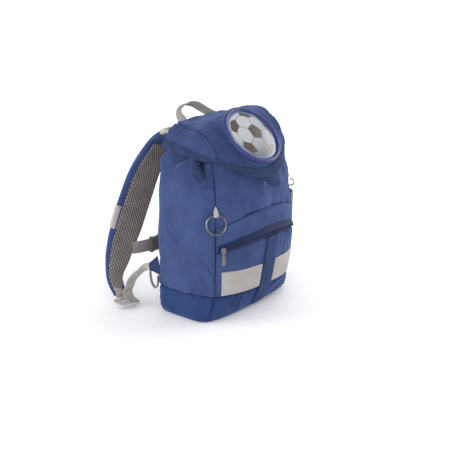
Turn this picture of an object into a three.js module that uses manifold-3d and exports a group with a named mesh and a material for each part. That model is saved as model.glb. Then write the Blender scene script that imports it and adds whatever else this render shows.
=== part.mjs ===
// A child's backpack standing on its base: a soft sack with a flap lid, a front pocket and padded straps.
// Millimetres, +Z up. The front faces -Y, the straps are at +Y, and the origin is the middle of the base.
import * as THREE from "three";
import { mergeVertices } from "three/addons/utils/BufferGeometryUtils.js";
import Module from "manifold-3d";

const wasm = await Module();
wasm.setup();

// Driving dimensions of cloth, webbing and seams
const CLOTH = 2.0; // wall of the sack, pocket and lid
const BASE_CLOTH = 2.6; // doubled cloth of the base
const SEAM_GAP = 0.4; // clearance between pieces that are sewn together
const TAPE = 0.9; // reflective tape
const WEBBING = 1.8; // thickness of the flat webbing
const BASE_HEIGHT = 39; // seam between base and sack
const SIDE_RIM = 260; // gathered mouth at the front and sides, under the lid
const SACK_COLUMNS = 64; // facets round the sack
const MID_HEIGHT = 120; // where the facets are measured out
const CROWDING_DEPTH = 6; // fold depth at which they stand twice as close
const SEAM_X = 88; // half the width between the two front seams
const STRAP_THICKNESS = 8.5; // padded shell of a shoulder strap
const MESH_THICKNESS = 3.0; // spacer mesh on a strap's inner face
const MESH_OUTER_EDGE = 9; // cloth that shows beside the mesh, away from the wearer's neck
const MESH_INNER_EDGE = 2.5; // the same on the neck side
const EMBLEM_RADIUS = 46.4; // middle of the piping round the emblem
const EMBLEM_PIPING = 3.4; // radius of that piping
const EMBLEM_SIDES = 36; // facets round the emblem
const EMBLEM_TILT = THREE.MathUtils.degToRad(42); // the emblem's normal above the horizontal
const EMBLEM_CENTRE = new THREE.Vector3(0, -42.5, 273);
const KEY_RING_RADIUS = 14.6;
const KEY_RING_WIRE = 1.4;

// A short table: one object for each row, with the given column names.
function table(columns, ...rows) {
  return rows.map((row) => Object.fromEntries(columns.map((name, i) => [name, row[i]])));
}

// Plan sections of the bag by height: superellipses with their own front and back depth and power.
const SECTIONS = table(
  ["z", "halfWidth", "front", "back", "frontPower", "backPower"],
  [0, 106, 43, 54, 7.0, 8.0],
  [2.5, 109, 47, 57, 7.0, 8.0],
  [8, 111, 51, 59.5, 5.0, 8.0],
  [20, 111.5, 57, 60, 3.6, 8.0],
  [40, 111.5, 64.5, 60.5, 2.5, 8.0],
  [68, 112, 68, 60.5, 2.3, 8.0],
  [108, 112, 70, 60.5, 2.2, 8.0],
  [158, 111.5, 70, 60, 2.2, 8.0],
  [198, 109.5, 67, 59, 2.1, 8.0],
  [220, 108, 61.5, 57.5, 2.1, 8.0],
  [236, 107, 54.5, 56, 2.1, 8.0],
  [249, 100.5, 45.5, 53.2, 2.15, 7.0],
  [260, 93, 38, 51.5, 2.4, 6.0],
  [276, 80, 36, 50.5, 3.0, 6.0],
  [292, 66, 32, 50, 4.0, 6.0],
);

// Folds that the gathered mouth throws into the sack. turn is the direction from the middle of the
// front towards +X and spread its half width, both in degrees. A fold deepens from low to high.
const FOLDS = table(
  ["turn", "spread", "depth", "low", "high"],
  [-73, 6, 12.0, 204, 240],
  [-85, 5, -1.5, 204, 244],
  [-97, 6, 7.0, 216, 252],
  [-112, 5, 5.0, 224, 256],
  [-48, 6, 5.0, 218, 252],
  [-20, 6, 4.0, 222, 256],
  [12, 6, 4.0, 220, 256],
  [40, 6, 5.0, 216, 252],
  [72, 6, 10.0, 206, 244],
  [93, 6, 6.5, 214, 252],
  [110, 5, 5.0, 224, 256],
);

// Front pocket levels: 0 base seam, 1 top of the reflective stripe, 2 and 3 the zip's edges, 4 upper seam.
// middle is the height at the middle of the front and drop how much lower the edge is at the side seam.
const POCKET_LEVELS = table(
  ["level", "middle", "drop"],
  [0, 40, 0],
  [1, 80, 0],
  [2, 124, 15],
  [3, 139, 20],
  [4, 164, 17],
);
const POCKET_BULGE = table(
  ["level", "bulge"],
  [0, 0],
  [1, 4],
  [2, 9.5],
  [3, 9],
  [4, 0],
);

// The lid from its back edge (v = 0) to its front hem (v = 1), for the left half. The seam parts the
// crown from the gusset, and power says how flat the crown is across its middle.
const LID_ROWS = table(
  ["v", "hemX", "hemY", "hemZ", "seamX", "seamY", "seamZ", "midY", "midZ", "power"],
  [0.0, 99, 50, 257, 66, 50, 290, 50, 292, 2.5],
  [0.2, 104, 28, 255, 70, 25, 293.5, 28, 297.5, 2.8],
  [0.4, 105, 6, 253, 76, -2, 292.5, 5, 301, 3.2],
  [0.6, 101, -12, 249, 74.5, -18, 281, -23, 282.5, 3.4],
  [0.8, 93, -28, 245.5, 74, -31, 267, -51, 253.5, 2.2],
  [1.0, 83, -39, 242, 78, -42, 243, -76, 213.5, 1.8],
);
const LID_SEAM = 0.72; // share of the lid's half width that is crown
const LID_LEAN = 0.07; // the stuffed crown stands higher on the +X side
const HEM_SIDE = 0.1; // share of the half width that the hem band takes at the sides
const HEM_FRONT = 0.075; // share of the length that it takes at the front

// Middle line of the left shoulder strap, from its root on the back down to the ladder lock.
const STRAP_PATH = table(
  ["x", "y", "z"],
  [-45, 55, 263],
  [-46, 67, 268],
  [-49, 86, 256],
  [-55, 103, 232],
  [-63.5, 120, 198],
  [-74, 131, 157],
  [-88, 139.5, 111],
  [-102.5, 142.5, 67],
  [-115, 135.5, 36],
  [-124, 121, 15],
);
const STRAP_WIDTH = table(
  ["s", "half", "twist"],
  [0, 22, 0],
  [0.12, 26, -6],
  [0.3, 27.5, -14],
  [0.6, 27.5, -18],
  [0.8, 21.5, -26],
  [1, 13, -42],
);

// Smooth value of one column at a place between the rows of a table.
function along(rows, key, column, at) {
  const last = rows.length - 1;
  let i = 0;
  while (i < last - 1 && at > rows[i + 1][key]) i += 1;
  const slope = (k) => {
    const before = rows[Math.max(k - 1, 0)];
    const after = rows[Math.min(k + 1, last)];
    return (after[column] - before[column]) / (after[key] - before[key]);
  };
  const span = rows[i + 1][key] - rows[i][key];
  const t = THREE.MathUtils.clamp((at - rows[i][key]) / span, 0, 1);
  const rise = t * t * (3 - 2 * t);
  const lead = t * (1 - t) * (1 - t) * span * slope(i);
  const tail = t * t * (t - 1) * span * slope(i + 1);
  return rows[i][column] * (1 - rise) + rows[i + 1][column] * rise + lead + tail;
}

// Evenly spaced values from a first to a last one.
function steps(first, last, count) {
  return Array.from({ length: count + 1 }, (_, i) => first + ((last - first) * i) / count);
}

// Indexed triangles as a geometry whose faces point outwards.
function solid(points, triangles) {
  let volume = 0;
  for (const [a, b, c] of triangles) {
    volume += points[a].dot(new THREE.Vector3().crossVectors(points[b], points[c]));
  }
  const order = volume < 0 ? [0, 2, 1] : [0, 1, 2];
  const geometry = new THREE.BufferGeometry().setFromPoints(points);
  geometry.setIndex(triangles.flatMap((corner) => order.map((k) => corner[k])));
  geometry.computeVertexNormals();
  return geometry;
}

// A wall between two skins of one surface point(u, v, out). With wrap, the last column meets the first.
function wall(point, us, vs, outer, inner, wrap = false) {
  const skins = [outer, inner];
  const points = skins.flatMap((out) => vs.flatMap((v) => us.map((u) => point(u, v, out))));
  const at = (skin, j, i) => (skin * vs.length + j) * us.length + (i % us.length);
  const triangles = [];
  const quad = (a, b, c, d) => triangles.push([a, b, c], [a, c, d]);
  const columns = wrap ? us.length : us.length - 1;
  const top = vs.length - 1;
  for (let i = 0; i < columns; i += 1) {
    for (let j = 0; j < top; j += 1) {
      quad(at(0, j, i), at(0, j, i + 1), at(0, j + 1, i + 1), at(0, j + 1, i));
      quad(at(1, j, i + 1), at(1, j, i), at(1, j + 1, i), at(1, j + 1, i + 1));
    }
    quad(at(0, 0, i + 1), at(0, 0, i), at(1, 0, i), at(1, 0, i + 1));
    quad(at(0, top, i), at(0, top, i + 1), at(1, top, i + 1), at(1, top, i));
  }
  for (let j = 0; j < top && !wrap; j += 1) {
    quad(at(0, j, 0), at(0, j + 1, 0), at(1, j + 1, 0), at(1, j, 0));
    quad(at(0, j + 1, columns), at(0, j, columns), at(1, j, columns), at(1, j + 1, columns));
  }
  return solid(points, triangles);
}

// A closed skin through rings of equal point count, with a flat or domed end on the first and last.
function loft(rings) {
  const count = rings[0].length;
  const points = rings.flat();
  const triangles = [];
  for (let j = 0; j < rings.length - 1; j += 1) {
    for (let i = 0; i < count; i += 1) {
      const a = j * count + i;
      const b = j * count + ((i + 1) % count);
      triangles.push([a, b, b + count], [a, b + count, a + count]);
    }
  }
  for (const [ring, turn] of [[0, 1], [rings.length - 1, 0]]) {
    const middle = rings[ring].reduce((sum, p) => sum.add(p), new THREE.Vector3());
    points.push(middle.divideScalar(count));
    for (let i = 0; i < count; i += 1) {
      const edge = [ring * count + i, ring * count + ((i + 1) % count)];
      triangles.push([edge[turn], edge[1 - turn], points.length - 1]);
    }
  }
  return solid(points, triangles);
}

// A surface base(u, v) with an offset along its normal.
function offsetOf(base, du, dv, outward) {
  return (u, v, out) => {
    const across = base(u + du, v).sub(base(u - du, v));
    const up = base(u, v + dv).sub(base(u, v - dv));
    return base(u, v).addScaledVector(across.cross(up).normalize(), out * outward);
  };
}

// A flat band of webbing along a smooth curve. widthAt(s) gives the direction of its width.
function ribbon(points, widthAt, width, thickness, count) {
  const curve = new THREE.CatmullRomCurve3(points, false, "centripetal");
  const rings = steps(0, 1, count).map((s) => {
    const centre = curve.getPointAt(s);
    const tangent = curve.getTangentAt(s);
    const across = widthAt(s).clone();
    across.addScaledVector(tangent, -across.dot(tangent)).normalize();
    const normal = new THREE.Vector3().crossVectors(across, tangent);
    return [[-1, -1], [1, -1], [1, 1], [-1, 1]].map(([a, b]) =>
      centre
        .clone()
        .addScaledVector(across, (a * width) / 2)
        .addScaledVector(normal, (b * thickness) / 2),
    );
  });
  return loft(rings);
}

// The same piece on the other side of the bag.
function mirrored(geometry) {
  const copy = geometry.clone().scale(-1, 1, 1);
  const index = copy.getIndex();
  for (let i = 0; i < index.count; i += 3) {
    const second = index.getX(i + 1);
    index.setX(i + 1, index.getX(i + 2));
    index.setX(i + 2, second);
  }
  copy.computeVertexNormals();
  return copy;
}

// Materials
const finish = (color, roughness, metalness = 0) =>
  new THREE.MeshStandardMaterial({ color, roughness, metalness });
const CANVAS = finish(0x46589a, 0.85);
const HEM_CANVAS = finish(0x3d5088, 0.85);
const BLUE_WEBBING = finish(0x2f4d8e, 0.8);
const PIPING = finish(0x41419a, 0.5);
const PRINT = finish(0xc9ccd2, 0.15);
const GREY_WEBBING = finish(0xa5a09b, 0.8);
const TAUPE_MESH = finish(0x8c827d, 0.95);
const TAUPE_WEBBING = finish(0x786e73, 0.85);
const REFLECTIVE = finish(0xbab7b2, 0.45);
const GREY_PLASTIC = finish(0xb4b2ad, 0.45);
const DARK_PLASTIC = finish(0x55504f, 0.45);
const ZIP_TAPE = finish(0x28345f, 0.8);
const STEEL = finish(0xc8c8c8, 0.2, 1);

const backpack = new THREE.Group();

// Adds one named piece to the backpack.
function piece(name, geometry, material, parent = backpack) {
  const mesh = new THREE.Mesh(geometry, material);
  mesh.name = name;
  parent.add(mesh);
  return mesh;
}

// Adds a left piece and its mirror image.
function pair(name, geometry, material) {
  piece(name + "_left", geometry, material);
  piece(name + "_right", mirrored(geometry), material);
}

// Sack and base

// Sizes of the plan section at a height.
function sectionAt(z) {
  const names = ["halfWidth", "front", "back", "frontPower", "backPower"];
  return Object.fromEntries(names.map((name) => [name, along(SECTIONS, "z", name, z)]));
}

// Point of the plain plan section at an angle, with 0 at +X and a quarter turn at the back.
function sectionPoint(angle, z) {
  const size = sectionAt(z);
  const back = Math.sin(angle) > 0;
  const power = 2 / (back ? size.backPower : size.frontPower);
  const depth = back ? size.back : size.front;
  const reach = (value) => Math.sign(value) * Math.abs(value) ** power;
  return new THREE.Vector3(size.halfWidth * reach(Math.cos(angle)), depth * reach(Math.sin(angle)), z);
}

// How far the gathers pull the cloth inwards at a point of the sack.
function foldDepth(point) {
  const turn = THREE.MathUtils.radToDeg(Math.atan2(point.x, -point.y));
  return FOLDS.reduce((sum, fold) => {
    const across = Math.exp(-(((turn - fold.turn) / fold.spread) ** 2));
    return sum + fold.depth * across * THREE.MathUtils.smoothstep(point.z, fold.low, fold.high);
  }, 0);
}

// The sack's outer skin, gathers included.
function sackSkin(angle, z) {
  const point = sectionPoint(angle, z);
  const shrink = foldDepth(point) / Math.hypot(point.x, point.y);
  point.x *= 1 - shrink;
  point.y *= 1 - shrink;
  return point;
}
const sackWall = offsetOf(sackSkin, 0.02, 1, 1);

// Angles that part the section at mid height into equal lengths, closer together where a fold is deep.
function evenAngles(count) {
  const fine = steps(0, 2 * Math.PI, 2000);
  const lengths = [0];
  for (let i = 1; i < fine.length; i += 1) {
    const place = sectionPoint(fine[i], MID_HEIGHT);
    const step = place.distanceTo(sectionPoint(fine[i - 1], MID_HEIGHT));
    const crowding = 1 + Math.abs(foldDepth(place.setZ(SIDE_RIM))) / CROWDING_DEPTH;
    lengths.push(lengths[i - 1] + step * crowding);
  }
  const whole = lengths[lengths.length - 1];
  return steps(0, whole, count)
    .slice(0, count)
    .map((length) => fine[lengths.findIndex((reached) => reached >= length)]);
}
const sackAngles = evenAngles(SACK_COLUMNS);

// The sack's four panels, each between two upright seams. Angles are in degrees.
const SACK_PANELS = table(
  ["name", "from", "to"],
  ["sack_right", -39, 45],
  ["sack_back", 45, 135],
  ["sack_left", 135, 219],
  ["sack_front", 219, 321],
);

// The facets of one panel, with a seam's gap at both its edges.
function panelAngles(panel) {
  const slit = (SEAM_GAP * 0.9) / sectionAt(MID_HEIGHT).halfWidth;
  const first = THREE.MathUtils.degToRad(panel.from) + slit;
  const last = THREE.MathUtils.degToRad(panel.to) - slit;
  const clear = 5 * slit;
  const turned = [...sackAngles.map((angle) => angle - 2 * Math.PI), ...sackAngles];
  const between = turned.filter((angle) => angle > first + clear && angle < last - clear);
  return [first, ...between, last];
}

// Height of the lid's back edge over a distance from the middle plane.
function roofHeight(x) {
  const edge = LID_ROWS[0];
  const reach = Math.abs(x);
  const inner = edge.midZ + (edge.seamZ - edge.midZ) * (reach / edge.seamX) ** edge.power;
  const slope = (edge.seamZ - edge.hemZ) / (edge.hemX - edge.seamX);
  return reach < edge.seamX ? inner : edge.seamZ - slope * (reach - edge.seamX);
}

// Height of the sack's mouth: level at the front and sides, and up to the lid's back edge behind.
function rimHeight(angle) {
  const lidClearance = CLOTH * 1.5 + SEAM_GAP;
  const behind = THREE.MathUtils.smoothstep(Math.sin(angle), 0.5, 0.74);
  let z = SIDE_RIM;
  for (let round = 0; round < 16; round += 1) {
    const roof = roofHeight(sectionPoint(angle, z).x) - lidClearance;
    z = (z + THREE.MathUtils.lerp(SIDE_RIM, Math.max(roof, SIDE_RIM), behind)) / 2;
  }
  return z;
}

function addSack() {
  const bottom = BASE_HEIGHT + SEAM_GAP;
  const shares = [0, 0.12, 0.27, 0.45, 0.62, 0.74, 0.82, 0.88, 0.94, 1];
  const point = (angle, share, out) => {
    const z = THREE.MathUtils.lerp(bottom, rimHeight(angle), share);
    return sackWall(angle, z, out);
  };
  for (const panel of SACK_PANELS) {
    piece(panel.name, wall(point, panelAngles(panel), shares, 0, -CLOTH), CANVAS);
  }
}

// The base: a shallow tray whose flat underside the bag stands on.
function addBase() {
  const ring = (z, inset, height) =>
    sackAngles.map((angle) => {
      const point = sectionPoint(angle, z);
      const share = 1 - inset / Math.hypot(point.x, point.y);
      return new THREE.Vector3(point.x * share, point.y * share, height);
    });
  const outer = [0, 2, 7, 17, BASE_HEIGHT].map((z) => ring(z, 0, z));
  const inner = [BASE_HEIGHT, 17, 7, 2].map((z) => ring(z, BASE_CLOTH, Math.max(z, BASE_CLOTH)));
  piece("base_tray", loft([...outer, ...inner]), CANVAS);
}

// Front pocket

// The bag's front at a distance from the middle plane, with an offset square to the plan section.
function frontSkin(x, z, out) {
  const size = sectionAt(z);
  const share = (Math.abs(x) / size.halfWidth) ** size.frontPower;
  const y = -size.front * (1 - share) ** (1 / size.frontPower);
  const slope = new THREE.Vector2(
    (Math.sign(x) * share) / Math.max(Math.abs(x), 1e-6),
    -((Math.abs(y) / size.front) ** size.frontPower) / Math.abs(y),
  ).normalize();
  return new THREE.Vector3(x + slope.x * out, y + slope.y * out, z);
}

// Height of a pocket level at a distance from the middle plane.
function pocketHeight(x, level) {
  const below = POCKET_LEVELS[Math.min(Math.floor(level), POCKET_LEVELS.length - 2)];
  const above = POCKET_LEVELS[below.level + 1];
  const edge = (row) => row.middle - row.drop * (x / SEAM_X) ** 2;
  return THREE.MathUtils.lerp(edge(below), edge(above), level - below.level);
}

// The pocket's inner face with an offset: it swells from the side seams and the base to the zip.
function pocketSkin(x, level, out) {
  const swell = along(POCKET_BULGE, "level", "bulge", level) * (1 - Math.abs(x / SEAM_X) ** 3);
  return frontSkin(x, pocketHeight(x, level), SEAM_GAP + Math.max(swell, 0) + out);
}

const WEBBING_HALF = 13.5;
const STRIPE_INNER = WEBBING_HALF + 1;
const STRIPE_OUTER = 83;
const POCKET_XS = [-87, -83, -75, -64, -50, -32, -STRIPE_INNER, 0, STRIPE_INNER, 32, 50, 64, 75, 83, 87];

function addPocket() {
  const zipXs = POCKET_XS.filter((x) => Math.abs(x) < 80);
  const stripeXs = POCKET_XS.filter((x) => x >= STRIPE_INNER && x <= STRIPE_OUTER);
  const zipDepth = SEAM_GAP + 1.2;
  const stripeSeat = CLOTH + SEAM_GAP;
  piece("pocket_front", wall(pocketSkin, POCKET_XS, [0.02, 0.5, 1, 1.5, 1.98], CLOTH, 0), CANVAS);
  piece("pocket_zip_band", wall(pocketSkin, zipXs, [1.9, 2.5, 3.08], -SEAM_GAP, -zipDepth), ZIP_TAPE);
  piece("pocket_top_band", wall(pocketSkin, POCKET_XS, [3.02, 3.35, 3.7, 4], CLOTH, 0), CANVAS);
  const stripe = wall(pocketSkin, stripeXs, [0.02, 0.5, 1], stripeSeat + TAPE, stripeSeat);
  piece("pocket_stripe_right", stripe, REFLECTIVE);
  piece("pocket_stripe_left", mirrored(stripe), REFLECTIVE);
  addPocketWebbing(stripeSeat);
  addZipPuller();
}

// Webbing down the middle of the pocket and on over the front of the base.
function addPocketWebbing(seat) {
  const baseEnd = 8;
  const stations = [1.96, 1.5, 1, 0.5, 0.02, -0.3, -0.7, -1];
  const point = (x, station, out) => {
    const low = THREE.MathUtils.lerp(baseEnd, BASE_HEIGHT, 1 + station);
    const lift = THREE.MathUtils.lerp(SEAM_GAP, seat + SEAM_GAP, 1 + station);
    return station > 0 ? pocketSkin(x, station, seat + out) : frontSkin(x, low, lift + out);
  };
  piece("pocket_webbing", wall(point, [-WEBBING_HALF, 0, WEBBING_HALF], stations, WEBBING, 0), BLUE_WEBBING);
}

// Slider and pull at the left end of the zip.
function addZipPuller() {
  const x = -81;
  const seat = pocketSkin(x, 2, CLOTH + 2 * SEAM_GAP);
  const out = pocketSkin(x, 2, 50).sub(pocketSkin(x, 2, 0)).normalize();
  const across = new THREE.Vector3(-out.y, out.x, 0);
  const outline = table(
    ["drop", "half", "depth"],
    [-9, 2.5, 2.6],
    [-6, 3.6, 3.2],
    [0, 3.6, 3.2],
    [3, 2.0, 2.0],
    [9, 3.2, 1.8],
    [17, 3.4, 1.8],
    [20, 2.2, 1.8],
  );
  const corners = [[-1, 0], [1, 0], [1, 1], [-1, 1]];
  const rings = outline.map((row) =>
    corners.map(([a, b]) =>
      seat
        .clone()
        .addScaledVector(across, a * row.half)
        .addScaledVector(out, b * row.depth)
        .add(new THREE.Vector3(0, 0, -row.drop)),
    ),
  );
  piece("zip_puller", loft(rings), GREY_PLASTIC);
}

// Mesh pocket on the +X side, open at the top under an elastic hem.
const SIDE_POCKET_TOP = 160;
const SIDE_POCKET_HEM = 10;

function addSidePocket() {
  const first = THREE.MathUtils.degToRad(-32);
  const last = THREE.MathUtils.degToRad(20);
  const swell = 10;
  const meshCloth = 1.4;
  const angles = steps(first, last, 10);
  const point = (angle, z, out) => {
    const across = Math.max(Math.sin((Math.PI * (angle - first)) / (last - first)), 0) ** 0.5;
    const up = THREE.MathUtils.smoothstep(z, BASE_HEIGHT, SIDE_POCKET_TOP - 20);
    return sackWall(angle, z, SEAM_GAP + swell * across * up + out);
  };
  const bottom = BASE_HEIGHT + 3;
  const hemLine = SIDE_POCKET_TOP - SIDE_POCKET_HEM;
  const meshHeights = steps(bottom, hemLine - SEAM_GAP, 5);
  piece("side_pocket_mesh", wall(point, angles, meshHeights, meshCloth, 0), TAUPE_MESH);
  piece("side_pocket_hem", wall(point, angles, [hemLine, SIDE_POCKET_TOP], CLOTH, 0), TAUPE_WEBBING);
}

// Lid

// The lid's outer skin: u runs from the left hem (-1) to the right hem (1), v from back to front.
function lidSkin(u, v) {
  const row = Object.fromEntries(
    Object.keys(LID_ROWS[0]).map((name) => [name, along(LID_ROWS, "v", name, v)]),
  );
  const side = Math.sign(u);
  const reach = Math.abs(u);
  const lean = LID_LEAN * Math.sin(Math.PI * THREE.MathUtils.clamp(v, 0, 1));
  const crown = Math.min(reach / LID_SEAM, 1);
  const flat = crown ** row.power;
  const point = new THREE.Vector3(
    side * row.seamX * crown,
    THREE.MathUtils.lerp(row.midY, row.seamY, crown ** 2),
    THREE.MathUtils.lerp(row.midZ, row.seamZ, flat),
  );
  const gusset = Math.max(reach - LID_SEAM, 0) / (1 - LID_SEAM);
  const bow = 0.5 * (gusset + Math.sin((gusset * Math.PI) / 2));
  const fall = 0.5 * (gusset + 1 - Math.cos((gusset * Math.PI) / 2));
  point.x += side * (row.hemX - row.seamX) * bow;
  point.y += (row.hemY - row.seamY) * gusset;
  point.z += (row.hemZ - row.seamZ) * fall;
  point.z += lean * point.x * (1 - fall);
  return point;
}
const lidWall = offsetOf(lidSkin, 0.01, 0.01, -1);

// Inside of the hem band: the whole lid, drawn in by the width of the band.
function lidPanel(u, v, out) {
  return lidWall(u * (1 - HEM_SIDE), v * (1 - HEM_FRONT), out);
}

// The hem band: t runs round the edge from the back left corner to the back right one.
function hemBand(t, share, out) {
  const edge = (value) => THREE.MathUtils.clamp(value, 0, 1);
  const u = -1 + 2 * edge(t - 1);
  const v = edge(t) - edge(t - 2);
  return lidWall(u * (1 - HEM_SIDE * share), v * (1 - HEM_FRONT * share), out);
}

function addLid() {
  const seam = LID_SEAM / (1 - HEM_SIDE);
  const seamSlit = 0.003;
  const vs = [0, 0.12, 0.24, 0.34, 0.43, 0.52, 0.62, 0.72, 0.82, 0.91, 0.995];
  const crownUs = steps(-(seam - seamSlit), seam - seamSlit, 12);
  const gussetUs = steps(-0.995, -(seam + seamSlit), 3);
  const gussetRightUs = gussetUs.map((u) => -u).reverse();
  piece("lid_crown", wall(lidPanel, crownUs, vs, 0, -CLOTH), CANVAS);
  piece("lid_gusset_left", wall(lidPanel, gussetUs, vs, 0, -CLOTH), CANVAS);
  piece("lid_gusset_right", wall(lidPanel, gussetRightUs, vs, 0, -CLOTH), CANVAS);
  const round = [...steps(0, 0.9, 6), 0.97, 1.03, ...steps(1.1, 1.9, 10), 1.97, 2.03, ...steps(2.1, 3, 6)];
  piece("lid_hem", wall(hemBand, round, [0, 0.84], 0.4, -CLOTH), HEM_CANVAS);
  addLidTab();
}

// A short pull of webbing sewn under the front hem, its free end sticking out.
function addLidTab() {
  const width = 20;
  const lift = -(CLOTH + SEAM_GAP + WEBBING / 2);
  const sewn = [0.93, 0.97].map((v) => lidWall(0, v, lift));
  const end = lidWall(0, 1, lift);
  const free = [
    end.clone().add(new THREE.Vector3(0, -4, -4)),
    end.clone().add(new THREE.Vector3(0, -16, -10)),
  ];
  const across = () => new THREE.Vector3(1, 0, 0);
  piece("lid_tab", ribbon([...sewn, end, ...free], across, width, WEBBING, 8), BLUE_WEBBING);
}

// Emblem on the lid: a padded seat, a ring of piping and a domed disc.

// A three.js geometry as a solid that can be joined and cut.
function manifold(geometry) {
  const bare = geometry.clone();
  bare.deleteAttribute("normal");
  bare.deleteAttribute("uv");
  const merged = mergeVertices(bare, 1e-3);
  return new wasm.Manifold(
    new wasm.Mesh({
      numProp: 3,
      vertProperties: merged.getAttribute("position").array,
      triVerts: new Uint32Array(merged.getIndex().array),
    }),
  );
}

// A cut solid back as a geometry.
function geometryOf(cut) {
  const mesh = cut.getMesh();
  const geometry = new THREE.BufferGeometry();
  geometry.setAttribute("position", new THREE.BufferAttribute(new Float32Array(mesh.vertProperties), 3));
  geometry.setIndex([...mesh.triVerts]);
  geometry.computeVertexNormals();
  return geometry;
}

function addEmblem() {
  const emblem = new THREE.Group();
  emblem.position.copy(EMBLEM_CENTRE);
  emblem.rotation.x = Math.PI / 2 - EMBLEM_TILT;
  emblem.updateMatrixWorld(true);
  backpack.add(emblem);
  const ring = new THREE.TorusGeometry(EMBLEM_RADIUS, EMBLEM_PIPING, 8, EMBLEM_SIDES);
  piece("emblem_ring", ring, PIPING, emblem);

  const discRadius = EMBLEM_RADIUS - EMBLEM_PIPING - SEAM_GAP;
  const seat = -EMBLEM_PIPING - SEAM_GAP;
  const profile = [
    [0, seat + SEAM_GAP],
    [discRadius - 3, seat + SEAM_GAP],
    [discRadius, -2],
    [discRadius, 0.5],
    [discRadius * 0.75, 2.4],
    [discRadius * 0.4, 3.6],
    [0, 4],
  ];
  const disc = new THREE.LatheGeometry(
    profile.map(([r, h]) => new THREE.Vector2(r, h)),
    EMBLEM_SIDES,
  );
  piece("emblem_disc", disc.rotateX(Math.PI / 2), PRINT, emblem);

  // The seat is a drum under the ring, cut to the lid's own curve.
  const drumDepth = 18;
  const drumRadius = EMBLEM_RADIUS + 2.5;
  const drum = new THREE.CylinderGeometry(drumRadius, drumRadius, drumDepth, EMBLEM_SIDES);
  drum.rotateX(Math.PI / 2).translate(0, 0, seat - drumDepth / 2);
  drum.applyMatrix4(emblem.matrixWorld);
  const inwards = new THREE.Vector3(0, Math.cos(EMBLEM_TILT), -Math.sin(EMBLEM_TILT));
  const under = (u, v, deep) => lidWall(u, v, SEAM_GAP * 2).addScaledVector(inwards, deep);
  const filled = wall(under, steps(-0.71, 0.71, 16), steps(0.22, 1, 14), 0, 60);
  const pad = manifold(drum).subtract(manifold(filled));
  piece("emblem_pad", geometryOf(pad), PIPING);
}

// Carrying

// Handle of webbing behind the lid: it lies flat on the back, turns on edge and arches up, leaning back.
function addHandle() {
  const width = 19;
  const thickness = 2.4;
  const backY = 50.8;
  const footY = backY + SEAM_GAP + thickness / 2;
  const route = table(
    ["x", "y", "z"],
    [-48, footY, 277],
    [-48, footY + 1, 284],
    [-47, 60, 294],
    [-40, 65, 302],
    [-24, 69, 307],
    [-4, 70, 304],
    [17, 68, 296],
    [35, 62.5, 287.5],
    [46, footY + 2, 281],
    [48, footY, 274],
  );
  const points = route.map((row) => new THREE.Vector3(row.x, row.y, row.z));
  const lean = new THREE.Vector3(0, 0.89, -0.45);
  const turning = (s) => {
    const up = THREE.MathUtils.smoothstep(s, 0.02, 0.26);
    const down = THREE.MathUtils.smoothstep(s, 0.74, 0.98);
    const flat = new THREE.Vector3(s < 0.5 ? 1 : -1, 0, 0);
    return flat.multiplyScalar(1 - up + down).addScaledVector(lean, up - down);
  };
  piece("carry_handle", ribbon(points, turning, width, thickness, 22), GREY_WEBBING);
}

// Frame of the left strap at a share s of its length: place, direction, width and outward side.
const strapCurve = new THREE.CatmullRomCurve3(
  STRAP_PATH.map((row) => new THREE.Vector3(row.x, row.y, row.z)),
  false,
  "centripetal",
);
function strapFrame(s) {
  const centre = strapCurve.getPointAt(s);
  const tangent = strapCurve.getTangentAt(s);
  const twist = THREE.MathUtils.degToRad(along(STRAP_WIDTH, "s", "twist", s));
  const across = new THREE.Vector3(Math.cos(twist), Math.sin(twist), 0);
  across.addScaledVector(tangent, -across.dot(tangent)).normalize();
  const outward = new THREE.Vector3().crossVectors(across, tangent);
  return { centre, tangent, across, outward, half: along(STRAP_WIDTH, "s", "half", s) };
}

// Point of the strap's section: a across its width and b out from the plane of the mesh.
function strapPoint(s, a, b) {
  const frame = strapFrame(s);
  return frame.centre.addScaledVector(frame.across, a).addScaledVector(frame.outward, b);
}

// Outer half of the strap's rounded section, grown by an offset.
function strapOuter(half, grow) {
  const w = half + grow;
  const t = STRAP_THICKNESS + grow;
  return [
    [-w, 1],
    [-w, t * 0.6],
    [-w + 3, t * 0.93],
    [-w * 0.4, t],
    [w * 0.4, t],
    [w - 3, t * 0.93],
    [w, t * 0.6],
    [w, 1],
  ];
}

function addStraps() {
  const stations = steps(0, 1, 24);
  const shell = loft(
    stations.map((s) => {
      const half = strapFrame(s).half;
      const inner = [[half - 3, 0], [-half + 3, 0]];
      return [...strapOuter(half, 0), ...inner].map(([a, b]) => strapPoint(s, a, b));
    }),
  );
  pair("strap_shell", shell, CANVAS);
  const mesh = loft(
    stations.slice(4, -1).map((s) => {
      const half = strapFrame(s).half;
      const from = -half + MESH_OUTER_EDGE;
      const to = half - MESH_INNER_EDGE;
      const low = -SEAM_GAP - MESH_THICKNESS;
      const section = [
        [from, -SEAM_GAP],
        [to, -SEAM_GAP],
        [to, low * 0.6],
        [to - 3, low],
        [from + 3, low],
        [from, low * 0.6],
      ];
      return section.map(([a, b]) => strapPoint(s, a, b));
    }),
  );
  pair("strap_mesh", mesh, TAUPE_MESH);
  const sleeve = (k, s, out) => {
    const [a, b] = strapOuter(strapFrame(s).half, out)[k];
    return strapPoint(s, a, b);
  };
  const around = [0, 1, 2, 3, 4, 5, 6, 7];
  const tape = (from, to) => wall(sleeve, around, steps(from, to, 2), SEAM_GAP + TAPE, SEAM_GAP);
  pair("strap_reflector", tape(stations[13], stations[16]), REFLECTIVE);
  pair("strap_root_tape", tape(stations[1], stations[2]), GREY_WEBBING);
}

// Ladder lock at the strap's lower end, a plate with two slots lying almost flat on the floor.
const LOCK_WIDTH = 37;
const LOCK_LENGTH = 30;
const LOCK_THICKNESS = 4.5;

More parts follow.
